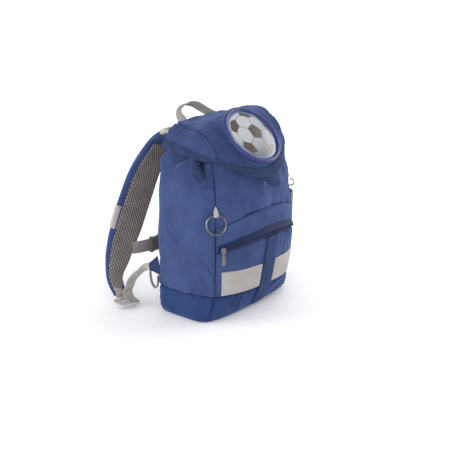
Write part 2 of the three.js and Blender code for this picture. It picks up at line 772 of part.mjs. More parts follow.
function lockFrame() {
  const end = strapFrame(1);
  const down = new THREE.Vector3(-0.21, -0.97, -0.05).normalize();
  const across = new THREE.Vector3(-down.y, down.x, 0).normalize();
  const outward = new THREE.Vector3().crossVectors(across, down);
  const centre = end.centre.clone().addScaledVector(down, LOCK_LENGTH / 2 + 2);
  centre.z = 6;
  return { centre, down, across, outward };
}

// A rectangle with round corners, drawn anticlockwise about a point on the middle line.
function roundedPath(path, middle, halfWidth, halfLength, radius) {
  const corners = [[1, 1], [-1, 1], [-1, -1], [1, -1]];
  corners.forEach(([sx, sy], k) => {
    const x = sx * (halfWidth - radius);
    const y = middle + sy * (halfLength - radius);
    path.absarc(x, y, radius, (k * Math.PI) / 2, ((k + 1) * Math.PI) / 2);
  });
  return path;
}

function addLocks() {
  const plate = roundedPath(new THREE.Shape(), 0, LOCK_WIDTH / 2, LOCK_LENGTH / 2, 4);
  for (const middle of [-7, 6]) {
    plate.holes.push(roundedPath(new THREE.Path(), middle, LOCK_WIDTH / 2 - 4, 2.6, 1));
  }
  const lock = new THREE.ExtrudeGeometry(plate, {
    depth: LOCK_THICKNESS,
    bevelEnabled: false,
    curveSegments: 2,
  });
  lock.translate(0, 0, -LOCK_THICKNESS / 2);
  const frame = lockFrame();
  const basis = new THREE.Matrix4().makeBasis(frame.across, frame.down, frame.outward);
  basis.setPosition(frame.centre);
  lock.deleteAttribute("uv");
  lock.deleteAttribute("normal");
  pair("ladder_lock", mergeVertices(lock.applyMatrix4(basis), 1e-3), GREY_PLASTIC);
}

// Blue triangular tab at the back corner, the webbing from it to the lock, and a hanging loop.
const WING_HEIGHT = 71;
const WING_ROOT = new THREE.Vector3(-105, 54.2, WING_HEIGHT);
const WING_TIP = new THREE.Vector3(-110, 70, WING_HEIGHT);

function addWings() {
  const out = WING_TIP.clone().sub(WING_ROOT).normalize();
  const thick = new THREE.Vector3(-out.y, out.x, 0);
  const up = new THREE.Vector3(0, 0, 1);
  const rings = [[0, 16], [0.5, 12], [1, 8]].map(([share, half]) =>
    [[-1, -1], [1, -1], [1, 1], [-1, 1]].map(([a, b]) =>
      new THREE.Vector3()
        .lerpVectors(WING_ROOT, WING_TIP, share)
        .addScaledVector(thick, a * 1.2)
        .addScaledVector(up, b * half),
    ),
  );
  pair("wing_tab", loft(rings), CANVAS);

  const lock = lockFrame();
  const lift = LOCK_THICKNESS / 2 + SEAM_GAP + WEBBING / 2;
  const onLock = (share) =>
    lock.centre
      .clone()
      .addScaledVector(lock.down, share * LOCK_LENGTH)
      .addScaledVector(lock.outward, -lift);
  const start = WING_TIP.clone().addScaledVector(out, SEAM_GAP);
  const points = [
    start,
    start.clone().addScaledVector(out, 6),
    new THREE.Vector3(-120, 85, 61),
    new THREE.Vector3(-127, 94, 48),
    new THREE.Vector3(-128, 99, 34),
    onLock(-0.12).add(new THREE.Vector3(-1, 0, 10)),
    onLock(0.05).add(new THREE.Vector3(0, 0, 1.5)),
    onLock(0.45),
  ];
  const width = (s) => {
    const level = THREE.MathUtils.smoothstep(s, 0.02, 0.2);
    const turned = THREE.MathUtils.smoothstep(s, 0.2, 0.55);
    const laid = new THREE.Vector3().lerpVectors(up, thick, level);
    return laid.lerp(lock.across.clone().negate(), turned);
  };
  pair("lower_webbing", ribbon(points, width, 17, WEBBING, 16), GREY_WEBBING);

  const hang = table(
    ["share", "up"],
    [0.93, -9.1],
    [0.93, -15],
    [0.82, -25],
    [0.58, -33],
    [0.38, -35.5],
    [0.22, -31.5],
    [0.16, -23],
    [0.15, -15.3],
  ).map((row) => new THREE.Vector3().lerpVectors(WING_ROOT, WING_TIP, row.share).addScaledVector(up, row.up));
  pair("tail_loop", ribbon(hang, () => thick, 7, 1.2, 14), GREY_WEBBING);
}

// Chest strap between the two shoulder straps, fastened off centre.
const CHEST_HEIGHT = 78;
const CHEST_Y = 123;
const CHEST_WEB = 20;

// A buckle half: rectangular sections along X, each with its half height and half depth.
function buckle(rows) {
  const corners = [[-1, -1], [1, -1], [1, 1], [-1, 1]];
  const drop = 1.5;
  return loft(
    rows.map((row) =>
      corners.map(
        ([a, b]) =>
          new THREE.Vector3(row.x, CHEST_Y + b * row.deep, CHEST_HEIGHT - drop + a * row.half),
      ),
    ),
  );
}

function addChestStrap() {
  const up = () => new THREE.Vector3(0, 0, 1);
  const socketFrom = -54;
  const split = -30;
  const plugTo = -8;
  const clear = 2 * SEAM_GAP;
  const place = (row) => new THREE.Vector3(row.x, CHEST_Y + row.back, CHEST_HEIGHT - row.sag);
  const left = table(
    ["x", "back", "sag"],
    [-86.5, 7.4, 0],
    [-73, 1.6, 0],
    [socketFrom - clear, 0, 1],
  );
  const right = table(
    ["x", "back", "sag"],
    [plugTo + clear, 0, 2],
    [20, 0, 4],
    [50, 0, 2],
    [73, 1.6, 0],
    [86.5, 7.4, 0],
  );
  piece("chest_web_left", ribbon(left.map(place), up, CHEST_WEB, WEBBING, 5), TAUPE_WEBBING);
  piece("chest_web_right", ribbon(right.map(place), up, CHEST_WEB, WEBBING, 10), TAUPE_WEBBING);
  const socket = table(
    ["x", "half", "deep"],
    [socketFrom, 11.5, 3],
    [socketFrom + 4, 13, 4],
    [split - 3, 13, 4.2],
    [split - SEAM_GAP, 12, 3.8],
  );
  const plug = table(
    ["x", "half", "deep"],
    [split, 10, 3],
    [split + 8, 11, 3.4],
    [plugTo - 3, 12, 3.4],
    [plugTo, 11, 2.6],
  );
  piece("chest_socket", buckle(socket), DARK_PLASTIC);
  piece("chest_plug", buckle(plug), DARK_PLASTIC);
}

// Loops in the two front seams and the split ring on the left one.
const LOOP_Z = 180;
const LOOP_WIDTH = 9;

// The seam's place, its outward direction and the direction along the surface.
function seamFrame(side) {
  const at = frontSkin(side * SEAM_X, LOOP_Z, 0);
  const outward = frontSkin(side * SEAM_X, LOOP_Z, 10).sub(at).normalize();
  return { at, outward, level: new THREE.Vector3(-outward.y, outward.x, 0) };
}

function addSeamLoop(name, side, profile) {
  const seam = seamFrame(side);
  const points = profile.map((row) =>
    seam.at.clone().addScaledVector(seam.outward, row.out).add(new THREE.Vector3(0, 0, row.up)),
  );
  piece(name, ribbon(points, () => seam.level, LOOP_WIDTH, 1.4, 14), GREY_WEBBING);
}

function addLoops() {
  const pulled = table(
    ["out", "up"],
    [1.4, 3],
    [3.6, 1.6],
    [7.0, -5],
    [7.6, -11],
    [4.8, -14.6],
    [2.0, -11.5],
    [1.5, -5],
    [1.4, 0.6],
  );
  const round = table(
    ["out", "up"],
    [1.4, 5],
    [4, 5.4],
    [6.8, 3.4],
    [7.6, 0],
    [6.6, -3.2],
    [4, -4.4],
    [1.4, -3.6],
  );
  addSeamLoop("seam_loop_left", -1, pulled);
  addSeamLoop("seam_loop_right", 1, round);
  const seam = seamFrame(-1);
  const ring = new THREE.TorusGeometry(KEY_RING_RADIUS, KEY_RING_WIRE, 6, 28);
  const lean = THREE.MathUtils.degToRad(13);
  const down = new THREE.Vector3(0, 0, -Math.cos(lean)).addScaledVector(seam.outward, Math.sin(lean));
  const facing = new THREE.Vector3().crossVectors(seam.level, down);
  const hung = piece("key_ring", ring, STEEL);
  const basis = new THREE.Matrix4().makeBasis(seam.level, down, facing);
  hung.quaternion.setFromRotationMatrix(basis);
  hung.position.copy(seam.at).addScaledVector(seam.outward, 4.6).add(new THREE.Vector3(0, 0, -11.1));
  hung.position.addScaledVector(down, KEY_RING_RADIUS);
}

addBase();
addSack();
addPocket();
addSidePocket();
addLid();
addEmblem();
addHandle();
addStraps();
addLocks();
addWings();
addChestStrap();
addLoops();

export default backpack;
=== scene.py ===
"""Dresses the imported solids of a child's backpack in cloth, webbing, mesh, print and trim.

Sizes are in millimetres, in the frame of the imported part, and meshes are written in metres.
Each new piece is a surface on a grid of two parameters, or a profile swept along a path.
"""

import logging
from dataclasses import dataclass, field
from enum import Enum
from typing import Callable, Sequence

import bpy
import numpy as np
from mathutils import Matrix


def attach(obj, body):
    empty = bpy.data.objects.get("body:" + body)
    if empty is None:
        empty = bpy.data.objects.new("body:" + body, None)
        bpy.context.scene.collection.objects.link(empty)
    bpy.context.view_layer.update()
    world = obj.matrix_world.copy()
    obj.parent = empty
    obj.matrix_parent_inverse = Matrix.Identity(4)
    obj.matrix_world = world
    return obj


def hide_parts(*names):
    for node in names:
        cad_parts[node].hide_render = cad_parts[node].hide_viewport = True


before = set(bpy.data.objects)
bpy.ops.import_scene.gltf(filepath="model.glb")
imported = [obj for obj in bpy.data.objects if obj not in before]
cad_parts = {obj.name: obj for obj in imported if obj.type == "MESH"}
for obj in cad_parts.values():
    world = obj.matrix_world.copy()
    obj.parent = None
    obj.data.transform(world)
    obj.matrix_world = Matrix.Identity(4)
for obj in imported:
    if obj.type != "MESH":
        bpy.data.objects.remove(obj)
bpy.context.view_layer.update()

Array = np.ndarray
Socket = bpy.types.NodeSocket
Colour = tuple[float, float, float]
Place = tuple[float, float, float]
LOG = logging.getLogger("backpack")
MM = 0.001
RIGHT = np.array([1.0, 0.0, 0.0])
UP = np.array([0.0, 0.0, 1.0])
BAG_MIDDLE = 140.0 * UP
# Thickness of cloth and webbing, the gap between sewn pieces, and the bag's mean radius
CLOTH = 2.0
WEBBING = 1.8
SEAM_GAP = 0.4
MEAN_RADIUS = 100.0
BLUE = (58.0, 74.0, 117.0)


class Side(Enum):
    """The two sides of the bag, as seen from the front."""

    LEFT = -1
    RIGHT = 1

    def node(self, stem: str) -> str:
        """Name of the node that a paired piece has on this side."""
        return f"{stem}_{self.name.lower()}"

    def place(self, points: Array) -> Array:
        """Points of the left side, mirrored where this is the right one."""
        return points * np.array([-float(self.value), 1.0, 1.0])


# Curves and tables


def unit(vectors: Array) -> Array:
    """Vectors at length one."""
    return vectors / np.maximum(np.linalg.norm(vectors, axis=-1, keepdims=True), 1e-9)


def square_to(vectors: Array, along: Array) -> Array:
    """Vectors without their part along a direction, at length one."""
    return unit(vectors - along * np.sum(vectors * along, axis=-1, keepdims=True))


def smoothstep(value: Array, low: float, high: float) -> Array:
    """Soft step from 0 at low to 1 at high: 3 squares less 2 cubes of the share between."""
    t = np.clip((np.asarray(value, float) - low) / (high - low), 0.0, 1.0)
    return t * t * (3.0 - 2.0 * t)


def bell(value: Array, width: float) -> Array:
    """Bell of height one around zero."""
    return np.exp(-((np.asarray(value, float) / width) ** 2))


def power(value: Array, exponent: Array) -> Array:
    """Power of a number that keeps its sign."""
    return np.sign(value) * np.abs(value) ** exponent


def turns(count: int) -> Array:
    """Angles that part a whole turn evenly."""
    return np.linspace(0.0, 2.0 * np.pi, count, endpoint=False)


def bearing(points: Array) -> Array:
    """Directions of points from the bag's front, in degrees, positive to the right."""
    return np.degrees(np.arctan2(points[..., 0], -points[..., 1]))


def run_along(points: Array, axis: int = 0) -> Array:
    """Distances from the start of a line, or along one axis of a grid."""
    steps = np.diff(points, axis=axis, prepend=np.take(points, [0], axis))
    return np.linalg.norm(steps, axis=-1).cumsum(axis=axis)


def between(points: Array, keys: Array, at: Array) -> Array:
    """Points of a line at some keys, straight between their neighbours."""
    return np.stack([np.interp(at, keys, column) for column in points.T], axis=-1)


def ripple(x: Array, y: Array, wavelength: float, seed: int) -> Array:
    """Soft even undulation: sines of about one wavelength in seeded directions, added up.

    Args:
        x: First coordinate on the cloth.
        y: Second coordinate on the cloth.
        wavelength: Typical distance between crests.
        seed: Chooses the directions and phases.

    Returns:
        Heights of about -1 to 1.
    """
    sines, crest = 7, 3.2
    rng = np.random.default_rng(seed)
    turn = rng.uniform(0.0, np.pi, sines)
    wave = 2.0 * np.pi / (wavelength * rng.uniform(0.75, 1.35, sines))
    phase = rng.uniform(0.0, 2.0 * np.pi, sines)
    run = x[..., None] * np.cos(turn) + y[..., None] * np.sin(turn)
    return np.sin(run * wave + phase).sum(axis=-1) / crest


class Table:
    """A short table with named columns, read smoothly between its rows."""

    def __init__(self, columns: str, *rows: Sequence[float]) -> None:
        """Keeps the rows, under column names parted by spaces. The first is the key."""
        self.names = columns.split()
        self.rows = np.array(rows, float)

    def column(self, name: str) -> Array:
        """One column."""
        return self.rows[:, self.names.index(name)]

    def at(self, name: str, key: Array) -> Array:
        """Cubic curve through a column, with slopes from the neighbouring rows.

        Args:
            name: The column.
            key: Where to read it, in the units of the first column.

        Returns:
            Values in the shape of key.
        """
        keys, values = self.rows[:, 0], self.column(name)
        key = np.asarray(key, float)
        i = np.searchsorted(keys[1:-1], key, side="left")
        row = np.arange(len(keys))
        below, above = np.maximum(row - 1, 0), np.minimum(row + 1, row[-1])
        slope = (values[above] - values[below]) / (keys[above] - keys[below])
        span = keys[i + 1] - keys[i]
        t = np.clip((key - keys[i]) / span, 0.0, 1.0)
        rise = t * t * (3.0 - 2.0 * t)
        bend = t * (1.0 - t) ** 2 * slope[i] + t * t * (t - 1.0) * slope[i + 1]
        return values[i] * (1.0 - rise) + values[i + 1] * rise + bend * span


def smooth_path(points: Sequence[Sequence[float]], count: int) -> Array:
    """Cubic curve through points, at equal distances.

    Its tangents come from the neighbouring points, at steps of the root of their distance.

    Args:
        points: Places that the curve passes through.
        count: How many places to return.

    Returns:
        An array of count points.
    """
    steps = 60
    p = np.asarray(points, float)
    p = np.vstack([2.0 * p[0] - p[1], p, 2.0 * p[-1] - p[-2]])
    gap = np.maximum(np.linalg.norm(np.diff(p, axis=0), axis=1) ** 0.5, 1e-3)[:, None]
    p0, p1, p2, p3 = p[:-3], p[1:-2], p[2:-1], p[3:]
    d0, d1, d2 = gap[:-2], gap[1:-1], gap[2:]
    lead = ((p1 - p0) / d0 - (p2 - p0) / (d0 + d1) + (p2 - p1) / d1) * d1
    tail = ((p2 - p1) / d1 - (p3 - p1) / (d1 + d2) + (p3 - p2) / d2) * d1
    t = np.linspace(0.0, 1.0, steps)[None, :, None]
    a, b, c, d = p1[:, None], lead[:, None], p2[:, None], tail[:, None]
    fine = a + b * t + (3.0 * (c - a) - 2.0 * b - d) * t**2 + (2.0 * (a - c) + b + d) * t**3
    return even_path(fine.reshape(-1, 3), count)


def even_path(points: Array, count: int) -> Array:
    """A run of points, parted anew into a count of equal distances."""
    run = run_along(points)
    return between(points, run, np.linspace(0.0, run[-1], count))


# Meshes


@dataclass
class Shell:
    """Bare arrays of a mesh: corners, four-sided faces, texture places, values at the corners."""

    verts: Array
    quads: Array
    uvs: Array
    values: dict[str, Array] = field(default_factory=dict)

    def outward(self) -> "Shell":
        """Turns the faces so that they look away from the piece's inside.

        Returns:
            This shell. Its faces are turned over if the flux through them was inwards.
        """
        p = self.verts[self.quads]
        area = np.cross(p[:, 2] - p[:, 0], p[:, 3] - p[:, 1])
        if np.einsum("ij,ij->", p.mean(axis=1) - BAG_MIDDLE, area) < 0.0:
            self.quads, self.uvs = self.quads[:, ::-1], self.uvs[:, ::-1]
        return self


@dataclass
class Surface:
    """A grid of points: rows along v, columns along u, and named values at the points."""

    points: Array
    wrap_u: bool = False
    wrap_v: bool = False
    values: dict[str, Array] = field(default_factory=dict)
    cloth: Array | None = None

    def normals(self) -> Array:
        """Directions square to the surface, from central differences along its rows and columns.

        Returns:
            Unit vectors in the shape of points.
        """

        def step(axis: int, wrap: bool) -> Array:
            """Differences along one axis of the grid."""
            rolled = np.roll(self.points, -1, axis) - np.roll(self.points, 1, axis)
            return rolled if wrap else np.gradient(self.points, axis=axis)

        return unit(np.cross(step(1, self.wrap_u), step(0, self.wrap_v)))

    def moved(self, amount: Array) -> "Surface":
        """The surface with each point moved along its normal by an amount."""
        points = self.points + self.normals() * np.asarray(amount, float)[..., None]
        return Surface(points, self.wrap_u, self.wrap_v, self.values)

    def shell(self) -> Shell:
        """Faces between neighbouring points, with distances along the cloth as texture places.

        Returns:
            The mesh arrays, with faces turned outwards.
        """
        rows, cols = self.points.shape[:2]
        seams = ((0, int(self.wrap_v)), (0, int(self.wrap_u)), (0, 0))
        wide = np.pad(self.points, seams, mode="wrap")
        cloth = self.cloth
        if cloth is None:
            cloth = np.stack([run_along(wide, 1), run_along(wide)], axis=-1)
        j, i = np.indices((wide.shape[0] - 1, wide.shape[1] - 1))
        down = np.stack([j, j, j + 1, j + 1], axis=-1).reshape(-1, 4)
        over = np.stack([i, i + 1, i + 1, i], axis=-1).reshape(-1, 4)
        quads = (down % rows) * cols + over % cols
        values = {name: np.broadcast_to(v, (rows, cols)).ravel() for name, v in self.values.items()}
        return Shell(self.points.reshape(-1, 3), quads, cloth[down, over], values).outward()


def tube(
    centre: Array,
    across: Array,
    out: Array,
    profile: Array,
    run: Array,
    closed: bool = False,
    cap: bool = True,
) -> Surface:
    """Closed sections along a line, with distances across and along as texture places.

    Args:
        centre: The middle of each section.
        across: Direction of the profile's first axis at each section.
        out: Direction of its second axis.
        profile: Points of the sections, as (station, place, 2).
        run: Distance of each section along the line, and once more of the first if closed.
        closed: Whether the last section meets the first.
        cap: Whether open ends are drawn together to a point.

    Returns:
        The surface.
    """
    points = centre[:, None] + across[:, None] * profile[..., :1] + out[:, None] * profile[..., 1:]
    place, drawn = profile[..., 0], 1e-3
    if cap and not closed:
        middle = points[[0, -1]].mean(axis=1, keepdims=True)
        ends = middle + (points[[0, -1]] - middle) * drawn
        points = np.concatenate([ends[:1], points, ends[1:]])
        run, place = np.pad(run, 1, mode="edge"), np.pad(place, ((1, 1), (0, 0)), mode="edge")
    place = np.pad(place, ((0, int(closed)), (0, 1)), mode="wrap")
    cloth = np.stack(np.broadcast_arrays(place, run[:, None]), axis=-1)
    return Surface(points, True, closed, cloth=cloth)


def sweep(path: Array, across: Array, profile: Array, closed: bool = False) -> Surface:
    """A profile swept along a path: each section is the profile, turned square to the path.

    Args:
        path: Points along the middle of the piece.
        across: Direction of the profile's first axis, one for each point or one for all.
        profile: Points of a closed section, as (place, 2) or (station, place, 2).
        closed: Whether the path's end meets its start. Open ends are closed with a flat cap.

    Returns:
        The swept surface.
    """
    if closed:
        tangent = unit(np.roll(path, -1, 0) - np.roll(path, 1, 0))
    else:
        tangent = unit(np.gradient(path, axis=0))
    across = square_to(np.broadcast_to(across, path.shape), tangent)
    profile = np.broadcast_to(profile, (len(path), *profile.shape[-2:]))
    run = run_along(np.vstack([path, path[:1]]) if closed else path)
    return tube(path, across, np.cross(across, tangent), profile, run, closed)


def flat_profile(width: Array, thickness: Array, places: int = 24, square: float = 5.0) -> Array:
    """Section of webbing or tape: a flat superellipse with rounded edges.

    Args:
        width: Whole width, one or one for each station.
        thickness: Whole thickness, likewise.
        places: Number of points.
        square: Power of the superellipse. 2 gives an ellipse.

    Returns:
        Points of the section, as (place, 2) or (station, place, 2).
    """
    turn = turns(places)
    section = power(np.stack([np.cos(turn), np.sin(turn)], axis=1), 2.0 / square)
    half = np.stack(np.broadcast_arrays(width, thickness), axis=-1) / 2.0
    return section * half[..., None, :]


def stitches(
    line: Array, out: Array, pitch: float = 3.3, length: float = 2.2, radius: float = 0.3
) -> Shell:
    """A row of stitches: one small six-sided capsule for each step along a line.

    Args:
        line: Points along the row.
        out: Direction out of the cloth at each point.
        pitch: Distance between stitches.
        length: Length of one stitch.
        radius: Half its width.

    Returns:
        The mesh arrays of all stitches.
    """
    reach = np.array([-1.0, -0.7, 0.7, 1.0]) * length / 2.0
    girth = np.array([0.2, 1.0, 1.0, 0.2]) * radius
    turn = turns(6)[:, None]
    count = max(int(run_along(line)[-1] / pitch), 2)
    middle = even_path(line, count)
    up = unit(even_path(line + out, count) - middle)
    along = unit(np.gradient(middle, axis=0))
    side = unit(np.cross(along, up))
    ring = side[:, None] * np.cos(turn) + up[:, None] * np.sin(turn)
    core = middle[:, None] + along[:, None] * reach[:, None]
    points = core[:, :, None] + ring[:, None] * girth[:, None, None]
    rings, sides = len(reach), len(turn)
    j, i = np.indices((rings - 1, sides))
    near, far = i, (i + 1) % sides
    one = np.stack([j * sides + near, j * sides + far], axis=-1)
    one = np.concatenate([one, one[..., ::-1] + sides], axis=-1)
    quads = np.arange(count)[:, None, None] * rings * sides + one.reshape(1, -1, 4)
    quads = quads.reshape(-1, 4)
    return Shell(points.reshape(-1, 3), quads, np.zeros((len(quads), 4, 2))).outward()


def settled(points: Array) -> Array:
    """The bag's right front corner, drawn in near the floor and with its lower edge rounded up.

    Args:
        points: Points of any piece.

    Returns:
        The points, moved by up to 6 mm. Each move is a product of three soft steps, and what lies
        below the bag stays.
    """
    corner = (
        ((40.0, 100.0), (-10.0, 30.0), (35.0, 85.0), (-5.0, 3.0, 0.0)),
        ((-50.0, 80.0), (12.0, 44.0), (4.0, 40.0), (0.0, 0.0, 6.0)),
    )
    x, y, z = np.moveaxis(points, -1, 0)
    move = np.zeros_like(points)
    for over_x, over_y, down_z, reach in corner:
        share = smoothstep(x, *over_x) * smoothstep(-y, *over_y) * (1.0 - smoothstep(z, *down_z))
        move += share[..., None] * np.array(reach)
    return points + move * (z >= 0.0)[..., None]


def make(name: str, *shells: Shell) -> bpy.types.Object:
    """Writes shells as one smooth mesh object, in metres.

    Args:
        name: Name of the piece.
        shells: Parts of the mesh.

    Returns:
        The new object, linked to the scene.
    """
    starts = np.cumsum([0] + [len(s.verts) for s in shells])
    verts = settled(np.concatenate([s.verts for s in shells]))
    quads = np.concatenate([s.quads + start for s, start in zip(shells, starts)])
    mesh = bpy.data.meshes.new(name)
    mesh.vertices.add(len(verts))
    mesh.vertices.foreach_set("co", (verts * MM).ravel())
    mesh.loops.add(quads.size)
    mesh.loops.foreach_set("vertex_index", quads.ravel().astype(np.int32))
    mesh.polygons.add(len(quads))
    mesh.polygons.foreach_set("loop_start", np.arange(0, quads.size, 4, dtype=np.int32))
    mesh.polygons.foreach_set("use_smooth", np.ones(len(quads), bool))
    layer = mesh.uv_layers.new(name="cloth")
    layer.data.foreach_set("uv", (np.concatenate([s.uvs for s in shells]) * MM).ravel())
    for key in sorted({key for s in shells for key in s.values}):
        value = np.concatenate([s.values.get(key, np.zeros(len(s.verts))) for s in shells])
        layer = mesh.attributes.new(key, "FLOAT", "POINT")
        layer.data.foreach_set("value", value.astype(np.float32))
    mesh.update(calc_edges=True)
    mesh.validate()
    obj = bpy.data.objects.new(name, mesh)
    bpy.context.scene.collection.objects.link(obj)
    return obj


# Materials


def srgb(red: float, green: float, blue: float) -> tuple[float, float, float, float]:
    """Linear colour of a screen colour.

    Args:
        red: Red, from 0 to 255.
        green: Green, likewise.
        blue: Blue, likewise.

    Returns:
        The colour for a shader, with a fourth value of 1.
    """
    value = np.array([red, green, blue]) / 255.0
    linear = np.where(value <= 0.04045, value / 12.92, ((value + 0.055) / 1.055) ** 2.4)
    return (float(linear[0]), float(linear[1]), float(linear[2]), 1.0)


class Tree:
    """The node tree of one material, with a principled shader at its end."""

    def __init__(self, name: str) -> None:
        """Makes the material.

        Args:
            name: Its name.
        """
        self.material = bpy.data.materials.new(name)
        self.material.use_nodes = True
        self.tree = self.material.node_tree
        self.tree.nodes.clear()
        self.shader = self.add("BsdfPrincipled")
        self.put(self.add("OutputMaterial").inputs["Surface"], self.shader.outputs["BSDF"])

    def add(self, kind: str) -> bpy.types.Node:
        """A new shader node."""
        return self.tree.nodes.new(f"ShaderNode{kind}")

    def put(self, socket: Socket, value: object) -> None:
        """Links an input to another socket, or sets it to a number or a colour.

        Args:
            socket: The input.
            value: A socket, a number or a colour.
        """
        if isinstance(value, Socket):
            self.tree.links.new(value, socket)
        else:
            socket.default_value = value

    def set(self, **values: object) -> None:
        """Sets the shader's inputs. Underscores in the names stand for spaces."""
        for name, value in values.items():
            self.put(self.shader.inputs[name.replace("_", " ")], value)

    def cloth(self) -> tuple[Socket, Socket]:
        """Reads the texture places.

        Returns:
            Distances across and along the cloth, in metres.
        """
        parted = self.add("SeparateXYZ")
        self.put(parted.inputs[0], self.add("TexCoord").outputs["UV"])
        return parted.outputs[0], parted.outputs[1]

    def value(self, name: str) -> Socket:
        """A named value that the mesh carries.

        Args:
            name: Its name.

        Returns:
            The value.
        """
        node = self.add("Attribute")
        node.attribute_name = name
        return node.outputs["Fac"]

    def math(self, operation: str, first: object, second: object = 0.0) -> Socket:
        """A sum or function of one or two values.

        Args:
            operation: Name of the operation.
            first: First value or socket.
            second: Second value or socket.

        Returns:
            The result.
        """
        node = self.add("Math")
        node.operation = operation
        self.put(node.inputs[0], first)
        self.put(node.inputs[1], second)
        return node.outputs[0]

    def times(self, first: object, second: object) -> Socket:
        """Product of two values."""
        return self.math("MULTIPLY", first, second)

    def plus(self, first: object, second: object) -> Socket:
        """Sum of two values."""
        return self.math("ADD", first, second)

    def wave(self, distance: Socket, pitch: float, phase: object = 0.0) -> Socket:
        """Sine of a distance in metres, with a wavelength in millimetres and an added phase."""
        angle = self.times(distance, 2.0 * np.pi / (pitch * MM))
        return self.math("SINE", self.plus(angle, phase))

    def lattice(self, across: float, along: float) -> Socket:
        """Product of two sines over the cloth, with wavelengths in millimetres."""
        x, y = self.cloth()
        return self.times(self.wave(x, across), self.wave(y, along))

    def noise(self, size: float, detail: float = 2.0) -> Socket:
        """Noise over the object.

        Args:
            size: Size of its grains, in millimetres.
            detail: Octaves.

        Returns:
            Values from 0 to 1.
        """
        node = self.add("TexNoise")
        self.put(node.inputs["Vector"], self.add("TexCoord").outputs["Object"])
        node.inputs["Scale"].default_value = 1.0 / (size * MM)
        node.inputs["Detail"].default_value = detail
        return node.outputs["Fac"]

    def ramp(
        self, value: Socket, low: float, high: float, start: float = 0.0, end: float = 1.0
    ) -> Socket:
        """Soft step of a value.

        Args:
            value: The value.
            low: Where the step begins.
            high: Where it ends.
            start: Result before the step.
            end: Result after it.

        Returns:
            The stepped value.
        """
        node = self.add("MapRange")
        node.interpolation_type = "SMOOTHSTEP"
        limits = {"From Min": low, "From Max": high, "To Min": start, "To Max": end}
        for name, number in limits.items():
            node.inputs[name].default_value = number
        self.put(node.inputs["Value"], value)
        return node.outputs["Result"]

    def mix(self, share: object, first: object, second: object) -> Socket:
        """A colour between two others.

        Args:
            share: How much of the second colour there is.
            first: First colour.
            second: Second colour.

        Returns:
            The mixed colour.
        """
        node = self.add("Mix")
        node.data_type = "RGBA"
        for socket, value in ((0, share), (6, first), (7, second)):
            self.put(node.inputs[socket], value)
        return node.outputs[2]

    def seamed(self, colour: object, dark: object, most: float, start: float = 0.25) -> Socket:
        """A colour that turns to a dark one along the seams, and in the painted shade that the seam
        value also carries, by the most in their middle.
        """
        return self.mix(self.ramp(self.value("seam"), start, 0.9, 0.0, most), colour, dark)

    def relief(self, height: Socket, depth: float, strength: float) -> None:
        """Adds a bump to what the shader already has.

        Args:
            height: Heights from about 0 to 1.
            depth: Height of one, in millimetres.
            strength: Share of the bump that is used.
        """
        node = self.add("Bump")
        node.inputs["Strength"].default_value = strength
        node.inputs["Distance"].default_value = depth * MM
        self.put(node.inputs["Height"], height)
        before = self.shader.inputs["Normal"].links
        if before:
            self.put(node.inputs["Normal"], before[0].from_socket)
        self.put(self.shader.inputs["Normal"], node.outputs["Normal"])


@dataclass(frozen=True)
class Finish:
    """A finish with a name and a screen colour."""

    name: str
    colour: Colour

    def shade(self, share: float = 1.0) -> tuple[float, float, float, float]:
        """The colour, made darker or paler by a share."""
        return srgb(*(c * share for c in self.colour))

    def material(self) -> bpy.types.Material:
        """Makes the material.

        Returns:
            The new material.
        """
        tree = Tree(self.name)
        self.paint(tree)
        return tree.material

    def paint(self, tree: Tree) -> None:
        """Sets a material's shader: here, to the plain colour."""
        tree.set(Base_Color=self.shade())


@dataclass(frozen=True)
class Canvas(Finish):
    """Matt woven cloth with a plain weave, soft mottling, dark seam lines, painted shade and
    painted highlights on fold crests.
    """

    weave: float = 1.1
    # Dark colour of the seam lines, and of the painted shade that the seam value also carries
    seam: Colour = (14.0, 20.0, 48.0)
    gloss: Colour = (150.0, 172.0, 232.0)

    def paint(self, tree: Tree) -> None:
        """Colour varies with noise and weave, darkens along seams and in painted shade, and is
        paler on fold crests as a painted highlight.

        Args:
            tree: The material's nodes.
        """
        weave = tree.lattice(self.weave, self.weave)
        mottle = tree.times(tree.ramp(tree.noise(34.0, 4.0), 0.36, 0.68), 0.5)
        yarn = tree.times(tree.noise(1.7, 1.0), 0.45)
        share = tree.plus(tree.plus(mottle, yarn), tree.times(weave, 0.08))
        colour = tree.mix(share, self.shade(), self.shade(0.8))
        # Painted highlight: paler where the crest value marks the crests of folds
        painted_crest_highlight = tree.ramp(tree.value("crest"), 0.1, 1.0, 0.0, 0.45)
        colour = tree.mix(painted_crest_highlight, colour, self.shade(1.35))
        tree.set(Base_Color=tree.seamed(colour, srgb(*self.seam), 0.82), Roughness=0.86)
        tree.set(Sheen_Weight=0.35, Sheen_Roughness=0.35, Sheen_Tint=srgb(*self.gloss))
        tree.set(Specular_IOR_Level=0.12)
        tree.relief(weave, 0.16, 0.55)
        tree.relief(tree.noise(9.0, 3.0), 0.9, 0.4)


@dataclass(frozen=True)
class Webbing(Finish):
    """Woven strap with chevron ribs, a denser edge and stitched ends."""

    rib: float = 1.7
    chevron: float = 3.2

    def paint(self, tree: Tree) -> None:
        """Ribs run along a zigzag over the width, and shade the hollows between them.

        Args:
            tree: The material's nodes.
        """
        across, along = tree.cloth()
        zigzag = tree.math("PINGPONG", across, self.chevron * MM)
        rib = tree.wave(tree.plus(along, zigzag), self.rib)
        worn = tree.ramp(tree.noise(12.0, 3.0), 0.4, 0.7, 0.0, 0.3)
        share = tree.plus(tree.ramp(rib, -0.9, 0.5, 0.75, 0.0), worn)
        colour = tree.mix(share, self.shade(), self.shade(0.72))
        tree.set(Base_Color=tree.seamed(colour, self.shade(0.35), 0.8), Roughness=0.7)
        tree.set(Sheen_Weight=0.05, Sheen_Roughness=0.4, Specular_IOR_Level=0.15)
        tree.relief(rib, 0.3, 0.7)


